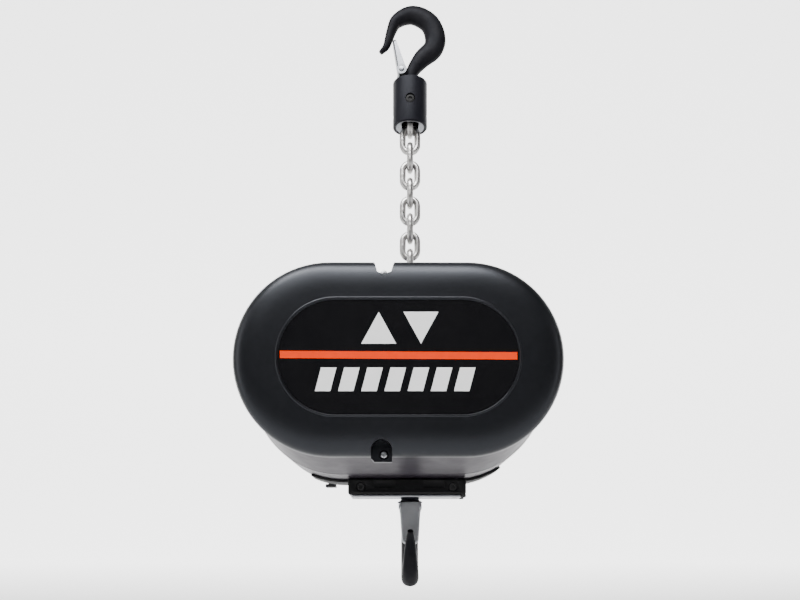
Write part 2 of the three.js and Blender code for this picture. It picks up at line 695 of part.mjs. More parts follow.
// The angle of the line from one axis to another
const bearing = (from, to) => Math.atan2(to[1] - from[1], to[0] - from[0]);
const toothGap = (teeth) => Math.PI / teeth;

const GEAR_Y = { second: [-70, -48], first: [-104, -84] };
const liftToPinion = bearing(WHEEL_AT, INTERMEDIATE_AT);
const motorToIntermediate = bearing(MOTOR_AT, INTERMEDIATE_AT);
const at = ([x, z]) => [x, 0, z];

const LIMIT_SCREW = 7;
add('lift_shaft', join(
  extrude('y', gear(TEETH.lift, liftToPinion), ...GEAR_Y.second, 8),
  turned('y', [[0, -190], [LIMIT_SCREW, -190], [LIMIT_SCREW, -151], [JOURNAL, -151],
  [JOURNAL, -140], [LIFT_SHAFT, -140], [LIFT_SHAFT, 19.5], [JOURNAL, 19.5],
  [JOURNAL, 29], [0, 29]])), 'steel', at(WHEEL_AT));
const PLATE_Y = [-40, -32];
add('intermediate_shaft', join(
  extrude('y', gear(TEETH.pinion, liftToPinion + Math.PI + toothGap(TEETH.pinion)), -72, -46, 8),
  extrude('y', gear(
    TEETH.intermediate, motorToIntermediate + Math.PI + toothGap(TEETH.intermediate)), ...GEAR_Y.first, 8),
  rod('y', PINION_SHAFT, -149, -33, [0, 0], 16)), 'steel', at(INTERMEDIATE_AT));

add('gear_plate', cut(
  slab(INSIDE - GAP, ...PLATE_Y),
  rod('y', LIFT_SHAFT + GAP, -50, -20, WHEEL_AT),
  rod('y', PINION_SHAFT + GAP, -50, -20, INTERMEDIATE_AT, 16),
  rod('y', MOTOR_SHAFT + GAP, -50, -20, MOTOR_AT)), 'casing');

// ---------------------------------------------------------------- motor and brake

const MOTOR_Y = [31, 81];
add('motor_shaft', join(
  extrude('y', gear(TEETH.motor, motorToIntermediate), -106, -82, 8),
  rod('y', 38, MOTOR_Y[0] + 3, MOTOR_Y[1] - 3),
  rod('y', 40, 84, 88),
  turned('y', [[0, -149], [MOTOR_END, -149], [MOTOR_END, -78], [MOTOR_SHAFT, -74],
    [MOTOR_SHAFT, 92], [0, 92]], [0, 0], 16)), 'steel', at(MOTOR_AT));
add('motor_stator', ring('y', 38.8, 72, ...MOTOR_Y, [0, 0], 32), 'copper', at(MOTOR_AT));
add('brake_armature', ring('y', 11, 44, 88.4, 92), 'steel', at(MOTOR_AT));
add('brake_coil', ring('y', 11, 58, 93, 104.5), 'copper', at(MOTOR_AT));

// ---------------------------------------------------------------- limit switch and controls

const limitNut = roundedRectangle(26, 20, 3);
limitNut.holes.push(new THREE.Path().absarc(0, 0, LIMIT_SCREW + GAP, 0, 2 * Math.PI));
add('limit_nut', extrude('y', limitNut, -174, -167, 8), 'steel', at(WHEEL_AT));
add('contactor', join(
  box([14, 62], [-188, -151], [-458, -400]),
  box([20, 56], [-195, -180], [-450, -408])), 'plastic');
add('transformer', join(
  box([-90, -32], [45, 89], [-526, -416]),
  box([-80, -42], [33, 101], [-505, -437])), 'steel');

// ---------------------------------------------------------------- suspension

const HOOK_BORE = LOWER_SCALE * SHANK + GAP;
const NUT_POCKET = { radius: 18, bottom: -575 };

// The strap that hugs the underside of the motor frame
function cradle() {
  const { y, thick, left, right } = CRADLE;
  const [inner, half, down] = [MOTOR_RADIUS + GAP, BODY_FLAT / 2, -Math.PI / 2];
  const [x1, x2] = [BODY_X - half, BODY_X + half];
  const strap = new THREE.Shape()
    .absarc(x1, BODY_Z, inner + thick, down - left, down)
    .absarc(x2, BODY_Z, inner + thick, down, down + right)
    .absarc(x2, BODY_Z, inner, down + right, down, true)
    .absarc(x1, BODY_Z, inner, down, down - left, true);
  return extrude('y', strap, ...y, 8);
}

function adapter() {
  const middle = (ADAPTER_X[0] + ADAPTER_X[1]) / 2;
  const [width, height, edge] = [ADAPTER_X[1] - ADAPTER_X[0], ADAPTER_TOP - ADAPTER_BOTTOM, 3.5];
  const centre = (ADAPTER_TOP + edge + ADAPTER_BOTTOM) / 2;
  const face = roundedRectangle(width, height + edge, edge, middle, centre);
  const block = cut(extrude('y', face, ...ADAPTER_Y, 3), box(everywhere, everywhere, [ADAPTER_TOP, -500]));
  return cut(
    join(block, cradle()),
    rod('z', HOOK_BORE, -600, -540),
    rod('z', NUT_POCKET.radius, NUT_POCKET.bottom, -540));
}

add('suspension_adapter', adapter(), 'cover');
const plateTop = ADAPTER_BOTTOM - GAP;
const plateBottom = plateTop - ADAPTER_PLATE;
add('adapter_plate', cut(
  box([ADAPTER_X[0] + 3.5, ADAPTER_X[1] - 6], [ADAPTER_Y[0] + 1, ADAPTER_Y[1] - 1], [plateBottom, plateTop]),
  rod('z', 12, -600, -540)), 'zinc');
add('lower_hook_nut', nut(15.5, HOOK_BORE, NUT_POCKET.bottom + GAP, ADAPTER_TOP - 2), 'steel');
const COLLAR = { bore: 9.7, neck: 11.2, mouth: 12.2, rim: 15.3, bottom: -592.3 };
add('hook_collar', turned('z', [[COLLAR.bore, plateTop], [COLLAR.neck, plateTop],
  [COLLAR.neck, plateBottom - 1.5], [COLLAR.neck + 1.2, plateBottom - 4.2], [COLLAR.rim, COLLAR.bottom + 1.2],
  [COLLAR.rim, COLLAR.bottom], [COLLAR.mouth, COLLAR.bottom]]), 'forging');

export default hoist;
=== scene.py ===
"""Looks of the climbing chain hoist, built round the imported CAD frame."""
import json
import math

import bmesh
import bpy
from mathutils import Matrix, Vector


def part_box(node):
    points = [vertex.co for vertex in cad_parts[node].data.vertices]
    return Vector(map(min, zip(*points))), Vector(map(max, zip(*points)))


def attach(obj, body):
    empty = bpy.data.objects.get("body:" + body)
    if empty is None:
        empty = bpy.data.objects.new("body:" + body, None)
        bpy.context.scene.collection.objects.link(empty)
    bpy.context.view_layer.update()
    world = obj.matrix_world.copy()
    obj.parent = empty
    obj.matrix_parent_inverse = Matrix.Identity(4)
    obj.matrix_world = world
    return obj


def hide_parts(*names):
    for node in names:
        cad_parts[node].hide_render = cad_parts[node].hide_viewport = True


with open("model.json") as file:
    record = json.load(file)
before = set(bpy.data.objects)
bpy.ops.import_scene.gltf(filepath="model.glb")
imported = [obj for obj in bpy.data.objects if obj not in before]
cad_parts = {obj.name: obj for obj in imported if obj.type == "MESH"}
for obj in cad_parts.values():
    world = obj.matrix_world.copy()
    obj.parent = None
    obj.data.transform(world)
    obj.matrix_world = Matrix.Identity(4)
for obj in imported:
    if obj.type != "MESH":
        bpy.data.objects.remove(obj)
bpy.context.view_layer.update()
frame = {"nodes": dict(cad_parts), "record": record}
MM = 0.001

# ------------------------------------------------------------------ dimensions, in millimetres

CHAIN = dict(pitch=21.8, wire=3.86, bend=9.05, half=14.85, first_z=-122.9)
STRAIGHT_LINKS = 17
BODY = dict(x=-14.0, z=-462.3, flat=67.9)
COVER = dict(radius=95.9, front=-219.9, back=-196.4)
CASING_RADIUS = dict(front=88.0, joint=100.7)
REAR_RADIUS = 97.9
BAYS = dict(top=dict(side=1, x=-27.9, depth=9.3, inner=7.4, outer=15.6, corner=2.5),
            bottom=dict(side=-1, x=-30.5, depth=15.8, inner=10.4, outer=10.4, corner=10.2))
SCREW = dict(x=-28.2, top=-378.4, bottom=-556.5, hole=4.7, hole_y=(-230, -202))
CRADLE = dict(y=(0.55, 53.95), gap=0.45, thick=2.75, left=23.0, right=33.8, steps=8)
LABEL = dict(x=-13.7, z=-462.8, flat=61.6)


def low(node):
    """Lowest corner of a CAD node, in millimetres."""
    return [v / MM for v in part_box(node)[0]]


def high(node):
    """Highest corner of a CAD node, in millimetres."""
    return [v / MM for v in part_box(node)[1]]


# ------------------------------------------------------------------ materials

def ramp(nodes, links, source, stops):
    """Maps a factor to the greys or colours of its stops."""
    node = nodes.new("ShaderNodeValToRGB")
    elements = node.color_ramp.elements
    while len(elements) < len(stops):
        elements.new(0.5)
    for element, (position, value) in zip(elements, stops):
        element.position = position
        element.color = (*value, 1) if isinstance(value, tuple) else (value, value, value, 1)
    links.new(source, node.inputs["Fac"])
    return node.outputs["Color"]


def noise(nodes, links, vector, scale, detail=4, rough=0.55):
    node = nodes.new("ShaderNodeTexNoise")
    node.inputs["Scale"].default_value = scale
    node.inputs["Detail"].default_value = detail
    node.inputs["Roughness"].default_value = rough
    links.new(vector, node.inputs["Vector"])
    return node.outputs["Fac"]


def mix_color(nodes, links, factor, a, b):
    node = nodes.new("ShaderNodeMix")
    node.data_type = "RGBA"
    links.new(factor, node.inputs["Factor"])
    for socket, value in ((node.inputs[6], a), (node.inputs[7], b)):
        if isinstance(value, tuple):
            socket.default_value = (*value, 1)
        else:
            links.new(value, socket)
    return node.outputs[2]


def finish_of(name, light, dark, patch=60, rough=(0.3, 0.4), rough_scale=220, metal=0.0,
              grain=900, bump=0.15, depth=0.0002, brushed=None, wear=None, gloss=0.5,
              tint=(1.0, 1.0, 1.0)):
    """A surface with patchy colour, uneven roughness, a fine grain and, where asked, worn edges."""
    material = bpy.data.materials.new(name)
    material.use_nodes = True
    nodes, links = material.node_tree.nodes, material.node_tree.links
    shader = nodes["Principled BSDF"]
    where = nodes.new("ShaderNodeTexCoord").outputs["Object"]
    if brushed:
        stretch = nodes.new("ShaderNodeMapping")
        stretch.inputs["Scale"].default_value = brushed
        links.new(where, stretch.inputs["Vector"])
        lines = stretch.outputs["Vector"]
    else:
        lines = where
    color = mix_color(nodes, links, ramp(nodes, links, noise(nodes, links, where, patch),
                                         [(0.3, 0.0), (0.7, 1.0)]), light, dark)
    if wear:
        amount, bare = wear
        edge = nodes.new("ShaderNodeNewGeometry").outputs["Pointiness"]
        exposed = ramp(nodes, links, edge, [(amount, 0.0), (amount + 0.06, 1.0)])
        spots = ramp(nodes, links, noise(nodes, links, where, 300, 6), [(0.45, 0.0), (0.6, 1.0)])
        both = nodes.new("ShaderNodeMath")
        both.operation = "MULTIPLY"
        links.new(exposed, both.inputs[0])
        links.new(spots, both.inputs[1])
        color = mix_color(nodes, links, both.outputs[0], color, bare)
    links.new(color, shader.inputs["Base Color"])
    links.new(ramp(nodes, links, noise(nodes, links, lines, rough_scale, 6),
                   [(0.3, rough[0]), (0.7, rough[1])]), shader.inputs["Roughness"])
    relief = nodes.new("ShaderNodeBump")
    relief.inputs["Strength"].default_value = bump
    relief.inputs["Distance"].default_value = depth
    links.new(noise(nodes, links, lines, grain, 3), relief.inputs["Height"])
    links.new(relief.outputs["Normal"], shader.inputs["Normal"])
    shader.inputs["Metallic"].default_value = metal
    shader.inputs["Specular Tint"].default_value = (*tint, 1)
    shader.inputs["Specular IOR Level"].default_value = gloss
    return material


MATERIALS = {
    "textured_black": finish_of(
        "powder_coat_black", (0.0030, 0.0030, 0.0038), (0.0045, 0.0045, 0.0056), patch=25,
        rough=(0.33, 0.40), rough_scale=500, grain=1500, bump=0.30, depth=0.00012,
        wear=(0.62, (0.03, 0.03, 0.034)), gloss=0.42, tint=(0.84, 0.89, 1.0)),
    "matte_black": finish_of(
        "matte_black_paint", (0.003, 0.003, 0.0034), (0.005, 0.005, 0.0056), patch=40,
        rough=(0.48, 0.6), rough_scale=400, grain=1300, bump=0.3, depth=0.00012,
        wear=(0.62, (0.03, 0.03, 0.034)), gloss=0.22),
    "gloss_black": finish_of(
        "gloss_paint_black", (0.007, 0.005, 0.009), (0.011, 0.008, 0.014), patch=18,
        rough=(0.36, 0.42), rough_scale=60, grain=420, bump=0.03, depth=0.0001, gloss=0.3,
        tint=(0.96, 0.84, 1.0)),
    "black_forging": finish_of(
        "black_oxide_forging", (0.006, 0.006, 0.008), (0.012, 0.0115, 0.013), patch=70,
        rough=(0.42, 0.54), rough_scale=160, grain=420, bump=0.25, depth=0.0002,
        wear=(0.62, (0.03, 0.03, 0.034)), gloss=0.07, tint=(0.86, 0.90, 1.0)),
    "block_black": finish_of(
        "black_oxide_turned", (0.006, 0.006, 0.009), (0.010, 0.010, 0.013), patch=60,
        rough=(0.42, 0.52), rough_scale=300, grain=500, bump=0.2, depth=0.0001,
        brushed=(1, 1, 6), wear=(0.62, (0.04, 0.04, 0.045)), gloss=0.14, tint=(0.86, 0.90, 1.0)),
    "zinc_plate": finish_of(
        "zinc_plate", (0.47, 0.48, 0.50), (0.42, 0.43, 0.45), patch=45,
        rough=(0.30, 0.38), rough_scale=90, metal=1.0, grain=420, bump=0.04, depth=0.00006,
        brushed=(3, 3, 1)),
    "pressed_zinc": finish_of(
        "pressed_zinc_sheet", (0.42, 0.43, 0.45), (0.36, 0.37, 0.39), patch=45,
        rough=(0.34, 0.42), rough_scale=90, metal=0.45, grain=420, bump=0.04, depth=0.00006),
    # Painted shade: a darker copy of the latch metal, so the upper latch shows less of the lamps' light than
    # the lower one
    "latch_steel": finish_of(
        "latch_metal_painted_shade", (0.19, 0.195, 0.21), (0.15, 0.155, 0.165), patch=60,
        rough=(0.34, 0.42), rough_scale=120, metal=1.0, grain=420, bump=0.04, depth=0.00006),
    "chain_steel": finish_of(
        "galvanised_chain", (0.66, 0.65, 0.64), (0.42, 0.41, 0.40), patch=160,
        rough=(0.24, 0.42), rough_scale=320, metal=1.0, grain=700, bump=0.25, depth=0.00015),
    "machine_steel": finish_of(
        "machined_steel", (0.28, 0.29, 0.31), (0.23, 0.24, 0.26), patch=90,
        rough=(0.25, 0.4), rough_scale=300, metal=1.0, grain=600, bump=0.12, depth=0.0001),
    "dark_steel": finish_of(
        "dark_screw_steel", (0.010, 0.010, 0.011), (0.018, 0.018, 0.019), patch=400,
        rough=(0.4, 0.5), rough_scale=700, metal=0.2, grain=1200, bump=0.15, depth=0.0001),
    "bare_aluminium": finish_of(
        "machined_aluminium", (0.62, 0.62, 0.64), (0.5, 0.5, 0.52), patch=60,
        rough=(0.3, 0.42), rough_scale=300, metal=1.0, grain=500, bump=0.15, depth=0.0001,
        brushed=(1, 6, 6)),
    "black_plastic": finish_of(
        "smooth_black_plastic", (0.012, 0.012, 0.013), (0.018, 0.018, 0.02), patch=60,
        rough=(0.28, 0.38), rough_scale=400, grain=900, bump=0.1, depth=0.0001),
    "label_black": finish_of(
        "label_black_film", (0.004, 0.004, 0.005), (0.006, 0.006, 0.007), patch=30,
        rough=(0.10, 0.14), rough_scale=120, grain=350, bump=0.03, depth=0.0001),
    "label_orange": finish_of(
        "label_orange_ink", (0.95, 0.050, 0.0005), (0.90, 0.044, 0.0005), patch=180,
        rough=(0.28, 0.36), rough_scale=400, grain=900, bump=0.05, depth=0.00005, gloss=0.1),
    "label_white": finish_of(
        "label_white_ink", (0.97, 0.97, 0.97), (0.94, 0.94, 0.94), patch=180,
        rough=(0.30, 0.38), rough_scale=400, grain=900, bump=0.05, depth=0.00005, gloss=0.7),
    "winding": finish_of(
        "enamelled_winding", (0.45, 0.20, 0.09), (0.35, 0.14, 0.06), patch=90,
        rough=(0.3, 0.45), rough_scale=300, metal=0.6, grain=500, bump=0.3, depth=0.0003,
        brushed=(1, 8, 1)),
    "rubber_black": finish_of(
        "rubber_black", (0.012, 0.012, 0.012), (0.02, 0.02, 0.02), patch=90,
        rough=(0.6, 0.75), rough_scale=300, grain=700, bump=0.3, depth=0.0002),
}

for part in frame["record"]["subparts"]:
    for material_slot in frame["nodes"][part["node"]].material_slots:
        material_slot.material = MATERIALS[part["material_slot"]]


# ------------------------------------------------------------------ mesh helpers

def mesh_of(name, verts, faces):
    """A mesh from vertices in millimetres."""
    mesh = bpy.data.meshes.new(name)
    mesh.from_pydata([Vector(v) * MM for v in verts], [], faces)
    return mesh


def clean(mesh, merge=None):
    """Joins vertices closer than merge metres, if given, and turns all faces outward."""
    work = bmesh.new()
    work.from_mesh(mesh)
    if merge:
        bmesh.ops.remove_doubles(work, verts=work.verts, dist=merge)
    bmesh.ops.recalc_face_normals(work, faces=work.faces)
    work.to_mesh(mesh)
    work.free()


def linked(name, data):
    """A new object in the scene."""
    obj = bpy.data.objects.new(name, data)
    bpy.context.scene.collection.objects.link(obj)
    return obj


def raw(name, verts, faces):
    """A cleaned object, still without material, for carving and softening."""
    mesh = mesh_of(name, verts, faces)
    clean(mesh, 1e-7)
    return linked(name, mesh)


def piece(name, verts, faces, material, body=None, smooth=35, nodes=()):
    """A smooth-shaded mesh given in millimetres, riding on a CAD body and standing for CAD nodes."""
    return dress(linked(name, mesh_of(name, verts, faces)), material, body, smooth, nodes)


def dress(obj, material, body=None, smooth=35, nodes=()):
    """Gives an object its material and shading; edges sharper than smooth degrees stay sharp."""
    clean(obj.data, 1e-6)
    obj.data.materials.clear()
    obj.data.materials.append(MATERIALS[material])
    for polygon in obj.data.polygons:
        polygon.use_smooth = True
    obj.data.set_sharp_from_angle(angle=math.radians(smooth))
    if body:
        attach(obj, body)
    if nodes:
        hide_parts(*nodes)
    return obj


def loft(rings, loop=False, caps=True):
    """Vertices and faces of a skin over rings with the same count."""
    count, total = len(rings[0]), len(rings)
    verts = [p for ring in rings for p in ring]
    faces = []
    for i in range(total if loop else total - 1):
        near, far = i * count, ((i + 1) % total) * count
        for j in range(count):
            k = (j + 1) % count
            faces.append((near + j, near + k, far + k, far + j))
    if caps and not loop:
        faces.append(tuple(range(count - 1, -1, -1)))
        faces.append(tuple(range((total - 1) * count, total * count)))
    return verts, faces


def oval(centre, across, along, sides, power=2.0):
    """A ring round centre; a power above 2 makes it squarer."""
    ring = []
    for i in range(sides):
        angle = 2 * math.pi * i / sides
        c, s = math.cos(angle), math.sin(angle)
        c = math.copysign(abs(c) ** (2 / power), c)
        s = math.copysign(abs(s) ** (2 / power), s)
        ring.append(centre + across * c + along * s)
    return ring


def stadium(radius, y, steps=40, x=BODY["x"], z=BODY["z"], flat=BODY["flat"], straight=16):
    """Two half circles joined by straight runs, the outline of the body and of its label."""
    ring = []
    for side in (1, -1):
        for i in range(steps + 1):
            angle = math.pi * (i / steps - 0.5) + (0 if side > 0 else math.pi)
            out, up = radius * math.cos(angle), radius * math.sin(angle)
            ring.append(Vector((x + side * flat + out, y, z + up)))
        for i in range(1, straight):
            ring.append(Vector((x + side * flat * (1 - 2 * i / straight), y, z + side * radius)))
    return ring


def shell(profile):
    """A closed body from a closed profile of (radius, y) round the body's stadium."""
    return loft([stadium(radius, y) for radius, y in profile], loop=True)


def fillet(centre, radius, start, end, steps=8):
    """Profile points on an arc; angles in degrees from +first axis towards +second."""
    return [(centre[0] + radius * math.cos(math.radians(start + (end - start) * i / steps)),
             centre[1] + radius * math.sin(math.radians(start + (end - start) * i / steps)))
            for i in range(steps + 1)]


def arc(centre, radius, start, end, step):
    """Points on a circle round centre; angles in whole degrees, end left out."""
    return [(centre[0] + radius * math.cos(math.radians(a)), centre[1] + radius * math.sin(math.radians(a)))
            for a in range(start, end, step)]


def turned(profile, at=(0, 0), axis="z", sides=64, closed=False):
    """A lathe body from (radius, height) points; closed joins the last to the first."""
    rings = []
    for radius, height in profile:
        ring = []
        for i in range(sides):
            angle = 2 * math.pi * i / sides
            a, b = at[0] + radius * math.cos(angle), at[1] + radius * math.sin(angle)
            ring.append(Vector({"z": (a, b, height), "y": (a, height, b), "x": (height, a, b)}[axis]))
        rings.append(ring)
    return loft(rings, loop=closed)


def prism(outline, low_y, high_y):
    """A straight body along Y over an outline of (x, z) points."""
    return loft([[Vector((x, y, z)) for x, z in outline] for y in (low_y, high_y)])


def rounded_box(x, y, z, radius, steps=4):
    """Vertices and faces of a box with every edge rounded, by rings of rounded rectangles."""
    rings = []
    for i in range(2 * steps + 2):
        lower = i <= steps
        angle = math.pi / 2 * ((i if lower else i - steps - 1) / steps)
        by_sine, by_cosine = radius * (1 - math.sin(angle)), radius * (1 - math.cos(angle))
        inset, height = (by_sine, z[0] + by_cosine) if lower else (by_cosine, z[1] - by_sine)
        rings.append(rounded_rectangle(x, y, radius, inset, height, steps))
    return loft(rings)


def rounded_rectangle(x, y, radius, inset, height, steps=4):
    """A level ring with round corners, drawn inset from the given sides."""
    ring = []
    r = max(radius - inset, 0.02)
    for cx, cy, start in ((x[1] - radius, y[0] + radius, -90), (x[1] - radius, y[1] - radius, 0),
                          (x[0] + radius, y[1] - radius, 90), (x[0] + radius, y[0] + radius, 180)):
        for i in range(steps + 1):
            angle = math.radians(start + 90 * i / steps)
            ring.append(Vector((cx + r * math.cos(angle), cy + r * math.sin(angle), height)))
    return ring


def carve(obj, cutters, operation="DIFFERENCE"):
    """Booleans with throwaway meshes given as (verts, faces) in millimetres."""
    for verts, faces in cutters:
        mesh = mesh_of("tool", verts, faces)
        clean(mesh)
        tool = linked("tool", mesh)
        modifier = obj.modifiers.new("carve", "BOOLEAN")
        modifier.object = tool
        modifier.operation = operation
        modifier.solver = "EXACT"
        bake(obj)
        bpy.data.objects.remove(tool)
    return obj


def bake(obj):
    """Applies an object's modifiers to its mesh."""
    result = bpy.data.meshes.new_from_object(
        obj.evaluated_get(bpy.context.evaluated_depsgraph_get()))
    obj.modifiers.clear()
    old, obj.data = obj.data, result
    bpy.data.meshes.remove(old)


def soften(obj, width, angle=30, segments=3):
    """Rounds the edges sharper than angle."""
    modifier = obj.modifiers.new("soften", "BEVEL")
    modifier.width = width * MM
    modifier.segments = segments
    modifier.limit_method = "ANGLE"
    modifier.angle_limit = math.radians(angle)
    modifier.use_clamp_overlap = True
    bake(obj)


# ------------------------------------------------------------------ hooks

# Centre line of the upper hook from its tip to its shank: x, z, half height, half thickness.
STATIONS = [
    (-36.4, -36.4, 2.6, 3.0), (-29.6, -29.0, 4.2, 4.6), (-26.4, -20.4, 5.2, 5.8), (-22.8, -9.3, 6.2, 7.0),
    (-16.9, 2.1, 7.8, 8.2), (2.5, 10.0, 10.5, 9.2), (23.5, 0.0, 12.0, 9.2), (31.2, -18.5, 12.8, 9.2),
    (28.4, -31.5, 12.3, 9.1), (14.2, -44.7, 10.6, 8.6), (2.5, -61.1, 7.7, 7.6), (0.0, -74.4, 7.5, 7.5)]


def smooth_path(points, t):
    """Point at t on a centripetal spline through points."""
    count = len(points)
    place = min(t * (count - 1), count - 1 - 1e-9)
    index = int(place)
    weight = place - index
    p1, p2 = points[index], points[index + 1]
    p0 = points[index - 1] if index else 2 * p1 - p2
    p3 = points[index + 2] if index + 2 < count else 2 * p2 - p1
    gaps = [max((b - a).length, 1e-3) ** 0.5 for a, b in ((p0, p1), (p1, p2), (p2, p3))]
    out = ((p1 - p0) / gaps[0] - (p2 - p0) / (gaps[0] + gaps[1]) + (p2 - p1) / gaps[1]) * gaps[1]
    into = ((p2 - p1) / gaps[1] - (p3 - p1) / (gaps[1] + gaps[2]) + (p3 - p2) / gaps[2]) * gaps[1]
    c2 = -3 * p1 + 3 * p2 - 2 * out - into
    c3 = 2 * p1 - 2 * p2 + out + into
    return p1 + out * weight + c2 * weight ** 2 + c3 * weight ** 3


CROWN = dict(start=17.0, squeeze=0.88)
HOOK = dict(steps=110, sides=40, power=2.15, straight=14, ridge=0.1, thinner=(0.05, 0.1), shank=-76.0,
            tip=0.3)


def crowned(ring):
    """Keeps the top of the bowl's smooth back under the faceted one of the CAD."""
    start, squeeze = CROWN["start"], CROWN["squeeze"]
    return [Vector((p.x, p.y, p.z if p.z < start else start + (p.z - start) * squeeze)) for p in ring]


def hook_mesh(shank_end):
    """The forging: an oval section along the centre line, with a faint parting ridge and a round tip."""
    path = [Vector((x, 0, z)) for x, z, _, _ in STATIONS]
    size = [Vector((a, b, 0)) for _, _, a, b in STATIONS]
    rings, steps, sides = [], HOOK["steps"], HOOK["sides"]
    less_half, less_thick = HOOK["thinner"]
    across = Vector((0, 1, 0))
    for i in range(steps + 1):
        t = i / steps
        ahead = smooth_path(path, min(t + 0.002, 1)) - smooth_path(path, max(t - 0.002, 0))
        side = ahead.normalized().cross(across)
        if i == steps:
            side = Vector((1, 0, 0))
        half, thick, _ = smooth_path(size, t)
        ring = oval(smooth_path(path, t), side * (half - less_half), across * (thick - less_thick), sides,
                    HOOK["power"])
        if 0 < i < steps - HOOK["straight"]:
            for j, sign in ((0, 1), (sides // 2, -1)):
                ring[j] = ring[j] + side * sign * HOOK["ridge"]
        rings.append(crowned(ring))
    tip = rings[0]
    middle = sum(tip, Vector()) / sides
    ahead = (smooth_path(path, 0.0) - smooth_path(path, 0.01)).normalized()
    for shrink, push in ((0.86, 0.35), (0.6, 0.65), (0.25, 0.8)):
        rings.insert(0, [middle + (p - middle) * shrink + ahead * push * HOOK["tip"] for p in tip])
    for height in (HOOK["shank"], shank_end):
        rings.append([Vector((p.x, p.y, height)) for p in rings[-1]])
    return loft(rings)


LATCH = dict(pivot=Vector((-10.3, 0, -61.8)), tip=Vector((-20.6, 0, -24.1)), width=(21.7, 16.6),
             depth=(10.4, 3.4), inset=4.9, sheet=1.5, tail=0.08, tail_depth=6.6,
             steps=26, corner=2.6, fold=2.0, lip=0.2)


def latch_mesh():
    """A pressed channel: a tapered web with two ears folded in, and rounded folds."""
    pivot, along = LATCH["pivot"], LATCH["tip"] - LATCH["pivot"]
    inward = Vector((along.z, 0, -along.x)).normalized()
    rings, steps, tail, tail_depth = [], LATCH["steps"], LATCH["tail"], LATCH["tail_depth"]
    sheet, lip = LATCH["sheet"], LATCH["lip"]
    for i in range(-2, steps + 1):
        t = i / steps if i >= 0 else tail * i / 2
        s = max(t, 0)
        half = (LATCH["width"][0] + (LATCH["width"][1] - LATCH["width"][0]) * s) / 2
        depth = LATCH["depth"][0] + (LATCH["depth"][1] - LATCH["depth"][0]) * s
        if t < 0:
            depth = tail_depth + (depth - tail_depth) * (1 + t / tail)
            half -= 0.3 * -t / tail
        if s > 0.9:
            half -= LATCH["corner"] * ((s - 0.9) / 0.1) ** 2
        inset = LATCH["inset"] + (sheet / 2 - LATCH["inset"]) * s
        fold = min(LATCH["fold"], depth * 0.6)
        bend = max(fold - sheet, 0.15)
        outline = (
            fillet((-half + fold, fold), fold, 180, 270, 4) + fillet((half - fold, fold), fold, 270, 360, 4)
            + [(half, depth - lip), (half - lip, depth), (half - sheet + lip, depth),
               (half - sheet, depth - lip)]
            + fillet((half - sheet - bend, sheet + bend), bend, 0, -90, 3)
            + fillet((-half + sheet + bend, sheet + bend), bend, 270, 180, 3)
            + [(-half + sheet, depth - lip), (-half + sheet - lip, depth), (-half + lip, depth),
               (-half, depth - lip)])
        rings.append([pivot + along * t + inward * (q - inset) + Vector((0, y, 0)) for y, q in outline])
    return loft(rings)


SPRING = dict(coil=2.9, wire=0.42, start=4.1, rise=1.15, turns=3, step=1.4, lean=-0.05, leg_steps=4)


def spring_mesh():
    """The torsion spring: a coil on the pin and a short leg along the latch."""
    pivot = LATCH["pivot"]
    rings, path, per_turn = [], [], 24
    for i in range(SPRING["turns"] * per_turn + 1):
        angle = 2 * math.pi * i / per_turn
        spoke = Vector((math.cos(angle), 0, math.sin(angle))) * SPRING["coil"]
        path.append(pivot + spoke + Vector((0, SPRING["start"] + SPRING["rise"] * i / per_turn, 0)))
    leg = (LATCH["tip"] - pivot).normalized() * SPRING["step"] + Vector((SPRING["lean"], 0, 0))
    foot = path[-1]
    path += [foot + leg * i for i in range(1, SPRING["leg_steps"] + 1)]
    for i, p in enumerate(path):
        ahead = (path[min(i + 1, len(path) - 1)] - path[max(i - 1, 0)]).normalized()
        side = ahead.cross(Vector((0, 1, 0))).normalized()
        rings.append(oval(p, side * SPRING["wire"], ahead.cross(side) * SPRING["wire"], 8))
    return loft(rings)


LATCH_PIN = dict(shank=1.58, head=3.3, seat=10.95, hook_hole=1.9, latch_hole=1.85, reach=12.0)
LATCH_AXIS = (LATCH["pivot"].x, LATCH["pivot"].z)
HOOK_LUG = dict(radius=2.9, rise=5.8, half=3.35)
EAR_RADIUS = 5.9


def latch_pin_mesh():
    """A rivet through hook and latch with a domed head on both sides."""
    edge, seat = LATCH_PIN["head"], -LATCH_PIN["seat"]
    head = [(0.4, seat - 0.95), (edge - 1.1, seat - 0.9), (edge - 0.3, seat - 0.65), (edge, seat - 0.25),
            (edge - 0.1, seat - 0.05), (LATCH_PIN["shank"], seat)]
    return turned(head + [(r, -y) for r, y in reversed(head)], LATCH_AXIS, "y", 32)


def latch_hole(radius):
    """A cutter along the latch's axis."""
    reach = LATCH_PIN["reach"]
    return turned([(radius, -reach), (radius, reach)], LATCH_AXIS, "y", 24)


def placed(mesh, matrix):
    """A mesh of (verts, faces) moved by a matrix."""
    verts, faces = mesh
    return [matrix @ Vector(v) for v in verts], faces


